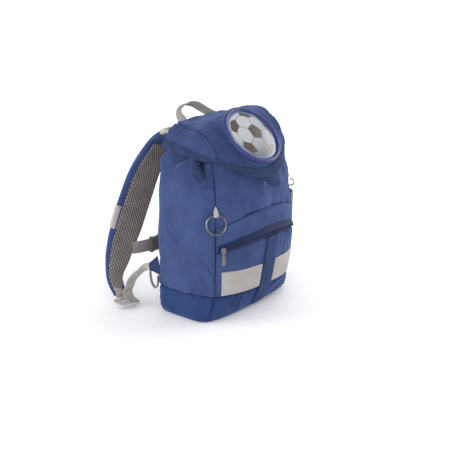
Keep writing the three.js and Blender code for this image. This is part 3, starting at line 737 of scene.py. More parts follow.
@dataclass(frozen=True)
class SpacerMesh(Finish):
    """Knitted spacer mesh: a lattice of diamond holes in a pale net, painted dark as the shade
    inside them.
    """

    hole: Colour = (28.0, 25.0, 26.0)
    pitch: tuple[float, float] = (4.6, 6.4)

    def paint(self, tree: Tree) -> None:
        """Holes stand where the sines of both distances agree, row by row, and are painted dark as
        the shade inside them.

        Args:
            tree: The material's nodes.
        """
        lattice = tree.lattice(*self.pitch)
        yarn = tree.times(tree.wave(tree.plus(*tree.cloth()), 0.9), 0.12)
        thread = tree.plus(yarn, tree.noise(16.0, 2.0))
        net = tree.mix(thread, self.shade(), self.shade(0.72))
        # Painted shade: the holes take a near-black colour for the shade seen through them
        hole = tree.ramp(lattice, 0.08, 0.42)
        tree.set(Base_Color=tree.mix(hole, net, srgb(*self.hole)), Roughness=0.85)
        tree.set(Sheen_Weight=0.05, Specular_IOR_Level=0.15)
        tree.relief(tree.ramp(lattice, -0.1, 0.6, 1.0, 0.0), 1.1, 0.9)


@dataclass(frozen=True)
class Reflective(Finish):
    """Reflective tape: pale grey, faintly metallic, with a fine bead grain."""

    bead: float = 2.2

    def paint(self, tree: Tree) -> None:
        """A honeycomb grain and soft scuffs lie over a satin grey.

        Args:
            tree: The material's nodes.
        """
        grain = tree.lattice(self.bead, self.bead)
        scuffs = tree.ramp(tree.noise(22.0, 4.0), 0.35, 0.7, 0.0, 0.6)
        share = tree.plus(tree.times(grain, 0.12), scuffs)
        colour = tree.mix(share, self.shade(), self.shade(0.9))
        tree.set(Base_Color=tree.seamed(colour, self.shade(0.5), 0.6, 0.3))
        tree.set(Roughness=0.52, Metallic=0.12, Specular_IOR_Level=0.5)
        tree.relief(grain, 0.08, 0.5)


@dataclass(frozen=True)
class Moulded(Finish):
    """Moulded plastic or plated metal with a fine grain and small scratches."""

    roughness: float = 0.42
    metallic: float = 0.0
    grain: float = 0.05

    def paint(self, tree: Tree) -> None:
        """Roughness and colour vary with a fine noise.

        Args:
            tree: The material's nodes.
        """
        fine = tree.noise(0.8, 2.0)
        worn = tree.ramp(tree.noise(6.0, 4.0), 0.4, 0.75, 0.0, 0.4)
        tree.set(Base_Color=tree.mix(worn, self.shade(), self.shade(0.82)), Metallic=self.metallic)
        tree.set(Roughness=tree.ramp(fine, 0.3, 0.7, self.roughness * 0.85, self.roughness * 1.2))
        tree.relief(fine, self.grain, 0.4)


@dataclass(frozen=True)
class Piping(Finish):
    """Smooth coated piping with fine creases across it."""

    crease: float = 2.6

    def paint(self, tree: Tree) -> None:
        """Creases run round the cord, over a soft gloss.

        Args:
            tree: The material's nodes.
        """
        _, along = tree.cloth()
        crease = tree.wave(along, self.crease, tree.times(tree.noise(7.0, 2.0), 9.0))
        worn = tree.ramp(tree.noise(18.0, 3.0), 0.4, 0.7, 0.0, 0.4)
        share = tree.plus(tree.ramp(crease, 0.2, 1.0, 0.0, 0.35), worn)
        tree.set(Base_Color=tree.mix(share, self.shade(), self.shade(0.7)), Roughness=0.42)
        tree.set(Specular_IOR_Level=0.3, Coat_Weight=0.08, Coat_Roughness=0.3)
        tree.relief(crease, 0.22, 0.5)


@dataclass(frozen=True)
class Print(Finish):
    """Glossy printed film: a plain panelled ball on a pale ground."""

    shadow: Colour = (84.0, 88.0, 94.0)
    seam: Colour = (84.0, 80.0, 82.0)
    patch: tuple[Colour, Colour] = ((84.0, 70.0, 62.0), (50.0, 42.0, 40.0))
    ground: tuple[Colour, Colour] = ((96.0, 118.0, 160.0), (66.0, 90.0, 140.0))

    def paint(self, tree: Tree) -> None:
        """The values on the mesh choose between ball, panel lines, patches and ground.

        Args:
            tree: The material's nodes.
        """
        ball = tree.mix(tree.value("tone"), self.shade(), srgb(*self.shadow))
        ball = tree.mix(tree.value("line"), ball, srgb(*self.seam))
        leather = tree.mix(tree.noise(3.0, 3.0), *(srgb(*c) for c in self.patch))
        ball = tree.mix(tree.value("patch"), ball, leather)
        cloud = tree.ramp(tree.noise(20.0, 3.0), 0.3, 0.7)
        ground = tree.mix(cloud, *(srgb(*c) for c in self.ground))
        tree.set(Base_Color=tree.mix(tree.value("ground"), ball, ground), Roughness=0.28)
        tree.set(Coat_Weight=0.3, Coat_Roughness=0.08, Specular_IOR_Level=0.4)


class Look(Enum):
    """The bag's finishes."""

    CANVAS = Canvas("canvas", BLUE)
    # The next two are darker copies of the canvas, as painted shade: a little for the lid, the
    # front pocket and the emblem's seat, and more for the hem and the wing tabs
    LID = Canvas("lid_canvas", tuple(c * 0.97 for c in BLUE))
    HEM = Canvas("hem_canvas", tuple(c * 0.77 for c in BLUE))
    BASE = Canvas("base_canvas", (40.0, 59.0, 104.0), weave=1.4)
    BLUE_WEB = Webbing("blue_webbing", (33.0, 56.0, 106.0))
    GREY_WEB = Webbing("grey_webbing", (182.0, 177.0, 174.0))
    TAUPE_WEB = Webbing("taupe_webbing", (156.0, 145.0, 146.0))
    ZIP = Webbing("zip_tape", (33.0, 44.0, 82.0), rib=1.2)
    MESH = SpacerMesh("spacer_mesh", (150.0, 141.0, 136.0))
    REFLECTIVE = Reflective("reflective_tape", (152.0, 149.0, 145.0))
    PIPING = Piping("piping", (38.0, 46.0, 104.0))
    PRINT = Print("ball_print", (166.0, 170.0, 174.0))
    LIGHT_PLASTIC = Moulded("light_plastic", (182.0, 180.0, 175.0))
    GREY_PLASTIC = Moulded("grey_plastic", (92.0, 90.0, 94.0))
    DARK_PLASTIC = Moulded("dark_plastic", (80.0, 76.0, 78.0))
    STEEL = Moulded("steel", (104.0, 104.0, 108.0), roughness=0.16, metallic=1.0, grain=0.01)


MATERIALS = {look: look.value.material() for look in Look}


def piece(
    name: str, look: Look, slot: str, nodes: Sequence[str], *shells: Shell
) -> bpy.types.Object:
    """Makes a piece, gives it its material and its body, and hides the solids that it stands for.

    Args:
        name: Name of the piece.
        look: Its finish.
        slot: The record's material slot. Not used.
        nodes: Solids that it replaces.
        shells: Parts of its mesh.

    Returns:
        The new object.
    """
    obj = make(name, *shells)
    obj.data.materials.append(MATERIALS[look])
    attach(obj, "root")
    if nodes:
        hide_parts(*nodes)
    LOG.info("%s: %d faces, for %s", name, len(obj.data.polygons), ", ".join(nodes) or "no solid")
    return obj


# The bag's form


@dataclass(frozen=True)
class BagForm:
    """The bag's plan sections by height. Each is a superellipse with its own front and back."""

    base_seam: float = 39.0
    seam_x: float = 88.0
    seams: tuple[float, ...] = (45.0, 135.0, 219.0, 321.0)
    seam_crowding: tuple[float, float] = (2.4, 9.0)
    side_rim: float = 260.0
    mid_height: float = 120.0
    sections: Table = Table(
        "z half front back front_power back_power",
        (0, 105.5, 42.5, 54, 4.4, 8.0),
        (2.5, 108.5, 46.5, 57, 4.4, 8.0),
        (8, 110.5, 51, 59.5, 3.8, 8.0),
        (20, 111.5, 57, 60, 3.2, 8.0),
        (40, 111.5, 64.5, 60.5, 2.5, 8.0),
        (68, 112, 68, 60.5, 2.3, 8.0),
        (108, 112, 70, 60.5, 2.2, 8.0),
        (158, 111.5, 70, 60, 2.2, 8.0),
        (198, 109.5, 67, 59, 2.1, 8.0),
        (220, 108, 61.5, 57.5, 2.1, 8.0),
        (236, 107, 54.5, 56, 2.1, 8.0),
        (249, 100.5, 45.5, 53.2, 2.15, 7.0),
        (260, 93, 38, 51.5, 2.4, 6.0),
        (276, 80, 36, 50.5, 3.0, 6.0),
        (292, 66, 32, 50, 4.0, 6.0),
    )

    def section(self, angle: Array, z: Array) -> Array:
        """Points of the plan section: sine and cosine of the angle, each to the section's power.

        Args:
            angle: Direction, with 0 at +X and a quarter turn at the back.
            z: Height.

        Returns:
            Points, with the shape of angle and z together.
        """
        angle, z = np.broadcast_arrays(angle, z)
        back, at = np.sin(angle) > 0.0, self.sections.at
        shape = 2.0 / np.where(back, at("back_power", z), at("front_power", z))
        depth = np.where(back, at("back", z), at("front", z))
        x = at("half", z) * power(np.cos(angle), shape)
        return np.stack([x, depth * power(np.sin(angle), shape), z], axis=-1)

    def even_angles(self, count: int) -> Array:
        """Angles that part the section at mid height evenly, with more of them beside the seams.

        Args:
            count: How many angles.

        Returns:
            The angles, from the middle of the right side once round.
        """
        more, width = self.seam_crowding
        fine = np.linspace(0.0, 2.0 * np.pi, 4001)
        run = run_along(self.section(fine, np.full_like(fine, self.mid_height)))
        off = run[:, None] - np.interp(np.radians(self.seams), fine, run)
        crowding = 1.0 + more * bell(off, width).sum(axis=1)
        weight = np.cumsum(np.diff(run, prepend=0.0) * crowding)
        return np.interp(np.linspace(0.0, weight[-1], count, endpoint=False), weight, fine)

    def seam_distance(self, points: Array, angle: Array) -> Array:
        """Distance round the bag from each point to the nearest upright seam.

        Args:
            points: Rows of points round the bag.
            angle: The angle of each column.

        Returns:
            Distances in the shape of the grid.
        """
        run = run_along(np.pad(points, ((0, 0), (0, 1), (0, 0)), mode="wrap"), 1)
        whole = np.append(angle, 2.0 * np.pi)
        place = np.interp(np.radians(self.seams), whole, np.arange(len(whole)))
        below = place.astype(int)
        at = run[:, below] + (run[:, below + 1] - run[:, below]) * (place - below)
        return np.abs(run[:, :-1, None] - at[:, None]).min(axis=2)

    def front(self, x: Array, z: Array, out: Array) -> Array:
        """The bag's front at a distance from the middle plane, offset square to the section.

        Args:
            x: Distance from the middle plane.
            z: Height.
            out: Offset.

        Returns:
            Points in the common shape of the arguments.
        """
        x, z, out = np.broadcast_arrays(np.asarray(x, float), z, np.asarray(out, float))
        half, front, shape = (self.sections.at(key, z) for key in ("half", "front", "front_power"))
        share = (np.abs(x) / half) ** shape
        y = -front * (1.0 - share) ** (1.0 / shape)
        slope = np.sign(x) * share / np.maximum(np.abs(x), 1e-6)
        lean = unit(np.stack([slope, (-y / front) ** shape / y], axis=-1)) * out[..., None]
        return np.stack([x + lean[..., 0], y + lean[..., 1], z], axis=-1)


@dataclass(frozen=True)
class LidForm:
    """The lid between its back edge (v = 0) and front hem (v = 1), from left (u = -1) to right."""

    seam: float = 0.72
    lean: float = 0.1
    hem_side: float = 0.1
    hem_front: float = 0.075
    rows: Table = Table(
        "v hem_x hem_y hem_z seam_x seam_y seam_z mid_y mid_z power",
        (0.0, 99, 50, 256, 66, 50, 287.5, 50, 289.8, 2.5),
        (0.2, 104, 28, 255, 70, 25, 289.5, 28, 291.5, 2.8),
        (0.4, 105, 6, 253, 76, -2, 288, 5, 294.5, 3.9),
        (0.6, 101, -12, 249, 74.5, -18, 281, -23, 282.5, 3.4),
        (0.8, 93, -28, 245.5, 74, -31, 267, -51, 253.5, 2.2),
        (1.0, 83, -39, 242, 78, -42, 243, -76, 213.5, 1.8),
    )

    def skin(self, u: Array, v: Array) -> Array:
        """The lid's skin: a crown that is flat by its power up to the seam, then a gusset.

        Args:
            u: Place across, from -1 to 1.
            v: Place from back to front, from 0 to 1.

        Returns:
            Points in the common shape of u and v.
        """
        u, v = np.broadcast_arrays(np.asarray(u, float), v)
        row = {name: self.rows.at(name, v) for name in self.rows.names[1:]}
        side, reach = np.sign(u), np.abs(u)
        crown = np.minimum(reach / self.seam, 1.0)
        gusset = np.maximum(reach - self.seam, 0.0) / (1.0 - self.seam)
        quarter = gusset * np.pi / 2.0
        fall = 0.5 * (gusset + 1.0 - np.cos(quarter))
        spread = 0.5 * (gusset + np.sin(quarter))
        x = side * (row["seam_x"] * crown + (row["hem_x"] - row["seam_x"]) * spread)
        y = row["mid_y"] + (row["seam_y"] - row["mid_y"]) * crown**2
        y = y + (row["hem_y"] - row["seam_y"]) * gusset
        z = row["mid_z"] + (row["seam_z"] - row["mid_z"]) * crown ** row["power"]
        z = z + (row["hem_z"] - row["seam_z"]) * fall
        lean = self.lean * np.sin(np.pi * np.clip(v, 0.0, 1.0))
        return np.stack([x, y, z + lean * x * (1.0 - fall)], axis=-1)

    def wall(self, u: Array, v: Array, out: Array) -> Array:
        """The lid's skin with an offset along its normal.

        Args:
            u: Place across.
            v: Place from back to front.
            out: Offset.

        Returns:
            Points in the common shape of the arguments.
        """
        step = 0.01
        across = self.skin(u + step, v) - self.skin(u - step, v)
        down = self.skin(u, v + step) - self.skin(u, v - step)
        normal = unit(np.cross(across, down))
        return self.skin(u, v) - normal * np.asarray(out, float)[..., None]


BAG = BagForm()
LID = LidForm()


# Sub-assemblies


@dataclass
class Sack:
    """The gathered sack and its base."""

    columns: int = 420
    rows: int = 190
    base_rows: int = 44
    under_rows: int = 14
    seam_rise: float = 4.0
    pocket_top: float = 164.0
    pocket_drop: float = 17.0
    lip: tuple[tuple[float, float], ...] = ((1.0, 1.0), (2.6, 0.4), (3.0, -2.0), (3.0, -30.0))
    folds: Table = Table(
        "turn spread depth low high",
        (-55, 4, 3.0, 216, 250),
        (-38, 5, 4.0, 212, 250),
        (-20, 5, 3.5, 222, 256),
        (-2, 4, 3.0, 218, 252),
        (12, 5, 4.0, 220, 256),
        (40, 6, 5.0, 216, 252),
        (72, 6, 10.0, 206, 244),
        (93, 6, 6.5, 214, 252),
        (112, 7, 6.0, 222, 256),
    )

    def seam_height(self, points: Array) -> Array:
        """Height of the base seam: a little higher at the sides than at the front."""
        return BAG.base_seam + self.seam_rise * smoothstep(points[..., 1], -60.0, -20.0)

    def rim(self, angle: Array) -> Array:
        """Height of the mouth: level in front and at the sides, and up to the lid's edge behind.

        Each round of the loop reads the lid's back edge over the section at the last height.

        Args:
            angle: Directions round the section.

        Returns:
            A height for each direction.
        """
        edge = dict(zip(LID.rows.names, LID.rows.rows[0]))
        mid, seam_x, seam_z = edge["mid_z"], edge["seam_x"], edge["seam_z"]
        slope = (seam_z - edge["hem_z"]) / (edge["hem_x"] - seam_x)
        behind = smoothstep(np.sin(angle), 0.5, 0.74)
        z = np.full_like(angle, BAG.side_rim)
        for _ in range(16):
            reach = np.abs(BAG.section(angle, z)[..., 0])
            inner = mid + (seam_z - mid) * np.minimum(reach / seam_x, 1.0) ** edge["power"]
            outer = seam_z - slope * np.maximum(reach - seam_x, 0.0)
            roof = np.minimum(inner, outer) - 1.5 * CLOTH - SEAM_GAP
            z = 0.5 * (z + BAG.side_rim + np.maximum(roof - BAG.side_rim, 0.0) * behind)
        return z

    def relief(self, points: Array) -> Array:
        """Dents, folds and puckers of the sack, as offsets along the normal.

        Folds are bells across, deeper towards the mouth. The large folds under the lid's left side
        come on top, and ripples cover the rest.

        Args:
            points: Points of the plain sack.

        Returns:
            Offsets, outwards positive.
        """
        z, turn = points[..., 2], bearing(points)
        arc = np.radians(turn) * MEAN_RADIUS
        lift = self.gathers(points)[0]
        crest_share, crest_reach = 0.35, 1.9
        for middle, spread, depth, low, high in self.folds.rows:
            off = turn - middle
            crest = crest_share * bell(np.abs(off) - crest_reach * spread, spread)
            lift -= depth * bell(off, spread) * smoothstep(z, low, high)
            lift += depth * crest * smoothstep(z, low + 6.0, high)
        mouth = smoothstep(z, 222.0, 254.0)
        calm = 1.0 - 0.6 * smoothstep(np.abs(turn), 96.0, 112.0)
        foot = bell(z - self.seam_height(points), 16.0)
        lift += 1.4 * mouth * ripple(arc * 2.4, z * 0.5, 30.0, 11)
        lift += calm * (1.9 * ripple(arc, z, 70.0, 3) + 0.9 * ripple(arc, z * 0.7, 34.0, 5))
        lift += 0.7 * foot * ripple(arc * 2.2, z * 0.4, 22.0, 17)
        crease = bell(ripple(arc + 0.5 * z, z * 0.35, 26.0, 21), 0.16)
        lift -= 1.6 * crease * smoothstep(ripple(arc, z, 90.0, 8), -0.1, 0.6)
        hidden = self.behind_pocket(points)
        return lift * (1.0 - hidden) - 1.6 * hidden

    def gathers(self, points: Array) -> tuple[Array, Array, Array]:
        """The large folds under the lid's left side.

        A pouch with a U-shaped lower lip holds a slanting hollow. Behind it a ridge runs down from
        the hem, with a recess above it, and the shoulder falls back beyond a curved line.

        Args:
            points: Points of the plain sack.

        Returns:
            Offsets outwards, the painted shade in the hollow, the recess and beyond the shoulder,
            and the painted highlight on the crests.
        """
        pouch_turn, pouch_foot, pouch_tall = -73.5, 232.0, 19.0
        ridge_turn, ridge_foot, ridge_slope = -86.0, 243.0, 0.95
        shoulder_turn, shoulder_top, shoulder_fall = -101.0, 255.0, 0.095
        z, turn = points[..., 2], bearing(points)
        off = turn - pouch_turn
        wide, tall = np.where(off < 0.0, 8.0, 3.2), np.minimum(z - pouch_foot, 0.0) / pouch_tall
        pouch = np.hypot(off / wide, tall)
        axis = -1.9 + 4.6 * (244.0 - z) / 24.5
        hollow = np.abs(off - axis) / np.interp(z, [218.0, 244.0], [1.8, 4.8])
        deep = (1.0 - smoothstep(hollow, 0.0, 1.25)) * smoothstep(z, 212.0, 238.0)
        swell = 3.0 * bell(pouch - 1.12, 0.17) * (1.0 - smoothstep(z, 236.0, 248.0))
        lift = swell - 6.0 * (1.0 - smoothstep(pouch, 0.2, 1.0)) - 15.0 * deep

        ridge = z - (ridge_foot + (turn - ridge_turn) * ridge_slope)
        window = bell(turn + 90.5, 7.5)
        lift += (4.0 * bell(ridge + 1.0, 4.0) - 6.0 * smoothstep(ridge, 1.0, 9.0)) * window
        recess = smoothstep(ridge, 0.5, 3.0) * (1.0 - smoothstep(ridge, 12.0, 20.0)) * window

        back = smoothstep(turn, -150.0, -132.0)
        bend = shoulder_fall * np.maximum(shoulder_turn - turn, 0.0) ** 2
        beyond = z - (shoulder_top - bend)
        shoulder = back * (1.0 - smoothstep(turn, -104.0, -98.0))
        lift += (1.8 * bell(beyond + 4.0, 5.0) - 1.6 * smoothstep(beyond, 0.0, 5.0)) * shoulder
        lift += 4.0 * bell(z - 247.0, 13.0) * back * (1.0 - smoothstep(turn, -103.0, -95.0))
        shoulder = shoulder * smoothstep(turn, -124.0, -114.0)

        # Painted shade in the hollow, in the recess above the ridge and beyond the shoulder;
        # painted highlight on the lip, the ridge's top and the shoulder's edge
        shadow = 0.6 * smoothstep(beyond, 1.0, 4.0) * shoulder
        dark = np.maximum.reduce([0.85 * deep, 0.62 * recess, shadow])
        lip = 0.75 * bell(pouch - 1.06, 0.08) * (1.0 - smoothstep(z, 218.0, 232.0))
        top = bell(ridge, 1.5) * bell(turn + 91.0, 5.5)
        return lift, dark, np.maximum.reduce([lip, top, bell(beyond + 0.5, 1.6) * shoulder])

    def pocket_line(self, points: Array) -> Array:
        """Height above the front pocket's upper seam."""
        drop = self.pocket_drop * (points[..., 0] / BAG.seam_x) ** 2
        return points[..., 2] - self.pocket_top + drop

    def behind_pocket(self, points: Array) -> Array:
        """How far a point lies behind the front pocket, from 0 to 1."""
        inside = smoothstep(BAG.seam_x + 3.0 - np.abs(points[..., 0]), 0.0, 4.0)
        return inside * smoothstep(-self.pocket_line(points), -1.0, 3.0) * (points[..., 1] < 0.0)

    def seams(self, points: Array, angle: Array) -> tuple[Array, Array]:
        """Seam lines of the sack: four upright ones, the base's and the front pocket's upper one.

        Each groove is a bell across the seam, between puckers that are sines along it.

        Args:
            points: Points of the sack.
            angle: The angle of each column.

        Returns:
            Offsets of the groove with its puckers, and how dark the seams are, with a painted shade
            that grows upwards towards the mouth, under the lid.
        """
        x, y, z = np.moveaxis(points, -1, 0)
        turn = bearing(points)
        off = BAG.seam_distance(points, angle)
        pucker = np.sin(2.0 * np.pi * z / 9.5 + np.sin(z / 7.0))
        groove = -1.9 * bell(off, 1.3) + 0.7 * bell(off - 4.5, 3.0) * (0.6 + 0.5 * pucker)
        drop = z - self.seam_height(points)
        pleat = np.sin(turn * 1.15 + 2.0 * np.sin(turn * 0.21))
        groove += -2.0 * bell(drop, 2.2) + 0.6 * pleat * bell(np.abs(drop) - 4.0, 4.0)
        over = self.pocket_line(points)
        front = (y < 0.0) * smoothstep(BAG.seam_x - np.abs(x), 0.0, 3.0)
        tuck = np.sin(x / 1.9 + 2.0 * np.sin(x / 9.0)) * smoothstep(x, 10.0, 45.0)
        groove += front * (0.5 + 0.6 * tuck) * bell(over - 8.0, 7.0)
        # Painted shade: the cloth darkens upwards towards the mouth, for the shadow under the lid
        painted_lid_shade = 0.5 * smoothstep(z, 180.0, 222.0)
        lines = [bell(off, 0.8), front * bell(over - 0.8, 1.1), painted_lid_shade, bell(drop, 1.0)]
        return groove, np.maximum.reduce(lines)

    def sack(self, angle: Array, foot: Array) -> None:
        """The sack: the plan section at a share of the height, moved along its normal.

        Its last rows turn in at the mouth, as a lip.

        Args:
            angle: The angle of each column.
            foot: Height of the base seam in each column.
        """
        share = np.linspace(0.0, 1.0, self.rows)[:, None]
        z = foot + (self.rim(angle) - foot) * share
        plain = Surface(BAG.section(np.broadcast_to(angle, z.shape), z), wrap_u=True)
        groove, dark = self.seams(plain.points, angle)
        skin = plain.moved(self.relief(plain.points) + groove)
        # The gathers give a painted shade for their hollows and a painted highlight for their
        # crests
        _, hollow, crest = self.gathers(plain.points)
        inward = unit(skin.points[-1] * np.array([-1.0, -1.0, 0.0]))
        turned = [skin.points[-1] + inward * a + UP * b for a, b in self.lip]
        bare = np.zeros((len(self.lip), self.columns))
        # The seam value holds the dark seam lines and the painted shade; the crest value holds the
        # painted highlight
        values = {
            "seam": np.concatenate([np.maximum(dark, hollow), bare]),
            "crest": np.concatenate([crest, bare]),
        }
        cloth = Surface(np.concatenate([skin.points, turned]), True, values=values)
        normals, sewn_rows = skin.normals(), slice(6, 150)
        at = np.interp(np.radians(BAG.seams), angle, np.arange(self.columns)).astype(int)
        columns = [(sewn_rows, c + beside) for c in at for beside in (-7, 8)]
        sewn = [stitches(skin.points[line], normals[line]) for line in (*columns, 4)]
        nodes = [f"sack_{wall}" for wall in ("front", "back", "left", "right")]
        piece("sack_cloth", Look.CANVAS, "canvas", nodes, cloth.shell(), *sewn)

    def base(self, angle: Array, foot: Array) -> None:
        """The base: the section from its seam to the floor, and drawn in to the middle below.

        Args:
            angle: The angle of each column.
            foot: Height of the base seam in each column.
        """
        depth = np.linspace(0.0, 1.0, self.base_rows)[:, None]
        grid = np.broadcast_to(angle, (self.base_rows, self.columns))
        wall = BAG.section(grid, foot * (1.0 - depth))
        z, turn = wall[..., 2], bearing(wall)
        lift = 1.1 * ripple(turn * 1.8, z, 46.0, 31) * smoothstep(z, 2.0, 14.0)
        lift += 0.5 * ripple(turn * 3.0, z * 0.5, 18.0, 37) * smoothstep(z, 2.0, 10.0)
        groove, dark = self.seams(wall, angle)
        sides = Surface(wall, wrap_u=True).moved(np.where(z > 1.0, -lift - groove, 0.0))
        under = wall[-1] * np.linspace(0.985, 0.02, self.under_rows)[:, None, None]
        under[..., 2] = 0.0
        dark = np.concatenate([dark, np.zeros(under.shape[:2])])
        cloth = Surface(np.concatenate([sides.points, under]), True, values={"seam": dark})
        sewn = stitches(sides.points[4], sides.normals()[4])
        piece("base_cloth", Look.BASE, "canvas", ["base_tray"], cloth.shell(), sewn)

    def dress(self) -> None:
        """Builds both pieces on the same columns."""
        angle = BAG.even_angles(self.columns)
        foot = self.seam_height(BAG.section(angle, np.full_like(angle, BAG.mid_height)))
        self.sack(angle, foot)
        self.base(angle, foot)


@dataclass
class FrontPocket:
    """The zipped pocket with its reflective stripe, webbing and puller."""

    edge: float = 88.3
    grid: tuple[int, int] = (90, 230)
    stripe: tuple[float, float] = (14.5, 83.0)
    stripe_thickness: float = 0.9
    web_half: float = 13.5
    zip_half: float = 86.5
    teeth: tuple[float, float] = (2.36, 2.7)
    puller_x: float = -81.0
    levels: Table = Table(
        "level middle drop", (0, 40, 0), (1, 80, 0), (2, 124, 15), (3, 139, 20), (4, 164, 17)
    )
    bulge: Table = Table("level bulge", (0, 0), (1, 4), (2, 9.5), (3, 9), (4, 0))
    pull: Table = Table(
        "drop half depth",
        (-8, 1.6, 1.2),
        (-6, 3.4, 3.0),
        (0, 3.6, 3.4),
        (2.5, 1.7, 1.6),
        (5, 1.7, 1.6),
        (8, 3.0, 1.6),
        (16, 3.4, 1.6),
        (19, 3.0, 1.6),
        (20.5, 1.2, 1.0),
    )

    def skin(self, x: Array, level: Array, out: Array) -> Array:
        """The pocket's inner face with an offset: it swells from the seams to the zip.

        Args:
            x: Distance from the middle plane.
            level: 0 at the base seam, 2 and 3 at the zip's edges, 4 at the upper seam.
            out: Offset outwards.

        Returns:
            Points in the common shape of the arguments.
        """
        x, level, out = np.broadcast_arrays(np.asarray(x, float), level, out)
        share = x / BAG.seam_x
        keys, middle, drop = self.levels.rows.T
        z = np.interp(level, keys, middle) - np.interp(level, keys, drop) * share**2
        swell = np.maximum(self.bulge.at("bulge", level) * (1.0 - np.abs(share) ** 3), 0.0)
        return BAG.front(x, z, SEAM_GAP + swell + out)

    def panel(
        self, name: str, look: Look, node: str, levels: tuple[float, float], pucker: float
    ) -> None:
        """A sewn panel: the pocket's face between two levels, with rolled edges above and below.

        Args:
            name: Name of the piece.
            look: Its finish.
            node: The solid that it replaces.
            levels: Lower and upper level.
            pucker: Height of the gathers along the zip's edge.
        """
        low, high = levels
        x = np.linspace(-self.edge, self.edge, self.grid[1])
        share = np.linspace(0.0, 1.0, self.grid[0])[:, None]
        level = low + (high - low) * share
        edge = np.minimum(share, 1.0 - share) * (high - low) * 40.0
        side = (self.edge - np.abs(x)) / 1.6
        tuck = -2.2 * np.exp(-edge / 1.1) - 1.8 * np.exp(-side / 1.2)
        zip_edge = share if high < 2.5 else 1.0 - share
        wide = np.broadcast_to(x, self.grid)
        gather = pucker * zip_edge**3 * ripple(wide * 3.0, level * 6.0, 30.0, 41)
        soft = 0.7 * ripple(wide, level * 40.0, 42.0, 43) * np.sin(np.pi * share)
        points = self.skin(x, level, CLOTH + tuck + gather + soft)
        dark = np.maximum(np.exp(-edge / 0.9), 0.3 * np.exp(-side / 0.8)) * 0.9
        back = points[[0, -1]] + np.array([0.0, 3.5, 0.0])
        points = np.concatenate([back[:1], points, back[1:]])
        dark = np.pad(dark, ((1, 1), (0, 0)), constant_values=1.0)
        skin = Surface(points, values={"seam": dark})
        sewn = [stitches(points[row], skin.normals()[row]) for row in (7, -8)]
        piece(name, look, "canvas", [node], skin.shell(), *sewn)

    def reflector(self, side: Side) -> None:
        """Half of the stripe: tape on the pocket, with its edges turned down to the cloth.

        Args:
            side: Which half.
        """
        thick = self.stripe_thickness
        x = np.sort(np.linspace(*self.stripe, 90) * side.value)
        level = np.concatenate([[0.05, 0.06], np.linspace(0.08, 0.97, 40), [0.99, 1.0]])[:, None]
        rim = np.minimum(np.minimum(x - x[0], x[-1] - x), 9.0) * np.ones_like(level)
        row = np.arange(len(level))[:, None]
        fall = np.minimum(row, row[::-1])
        shoulder = np.where((rim < 0.8) | (fall == 1), thick * 0.8, thick)
        lift = np.where((rim < 1e-6) | (fall == 0), -1.2, shoulder)
        points = self.skin(x, level, CLOTH + SEAM_GAP + lift)
        tape = Surface(points, values={"seam": bell(rim - 2.2, 0.5) * 0.5})
        nodes = [side.node("pocket_stripe")]
        piece(side.node("stripe_tape"), Look.REFLECTIVE, "reflective", nodes, tape.shell())

    def webbing(self) -> None:
        """Webbing down the middle: a flat section swept along the pocket's face and the base."""
        seat = CLOTH + SEAM_GAP + WEBBING / 2.0
        upper = self.skin(0.0, np.linspace(1.99, 0.06, 40), seat)
        out = np.linspace(seat - 0.4, SEAM_GAP + 1.6, 16)
        lower = BAG.front(0.0, np.linspace(36.0, 7.0, 16), out)
        path = even_path(np.concatenate([upper, lower]), 110)
        web = sweep(path, RIGHT, flat_profile(2.0 * self.web_half, WEBBING, 32))
        x = web.points[..., 0]
        web.values["seam"] = bell(np.abs(x) - self.web_half + 2.6, 0.45) * 0.55
        web.points[..., 1] += self.skin(x, 1.0, 0.0)[..., 1] - self.skin(0.0, 1.0, 0.0)[1]
        piece("pocket_web", Look.BLUE_WEB, "blue_webbing", ["pocket_webbing"], web.shell())

    def zip(self) -> None:
        """Zip tape that swells between the panels by a half sine, with a coil of teeth along it."""
        x = np.linspace(-self.zip_half, self.zip_half, 160)
        share = np.linspace(0.0, 1.0, 24)[:, None]
        swell = 3.0 * np.sin(np.pi * share) ** 0.7 - 0.4
        tape = Surface(self.skin(x, 1.9 + 1.18 * share, swell))
        level, seat = self.teeth
        line = self.skin(x, level, seat)
        out = unit(self.skin(x, level, 10.0) - line)
        teeth = [stitches(line + UP * rise, out, 2.2, 1.2, 0.9) for rise in (-0.9, 0.9)]
        piece("zip_tape", Look.ZIP, "zip_tape", ["pocket_zip_band"], tape.shell(), *teeth)

    def puller(self) -> None:
        """Slider and pull: rounded sections, swept down from the zip's left end."""
        drop = np.linspace(*self.pull.column("drop")[[0, -1]], 60)
        seat = self.skin(self.puller_x, 2.0, CLOTH + 2.6)
        out = unit(self.skin(self.puller_x, 2.0, 50.0) - seat)
        width, depth = 2.0 * self.pull.at("half", drop), 2.0 / 1.6 * self.pull.at("depth", drop)
        profile = flat_profile(width, depth, 24, 3.5)
        body = sweep(seat - UP * drop[:, None], np.cross(UP, out), profile)
        piece("puller", Look.GREY_PLASTIC, "grey_plastic", ["zip_puller"], body.shell())

    def dress(self) -> None:
        """Builds every piece of the pocket."""
        # The pocket's cloth takes the slightly darker copy of the canvas, as painted shade
        self.panel("pocket_cloth", Look.LID, "pocket_front", (0.02, 1.98), 1.1)
        self.panel("pocket_band", Look.CANVAS, "pocket_top_band", (3.02, 4.0), 0.5)
        self.zip()
        for side in Side:
            self.reflector(side)
        self.webbing()
        self.puller()


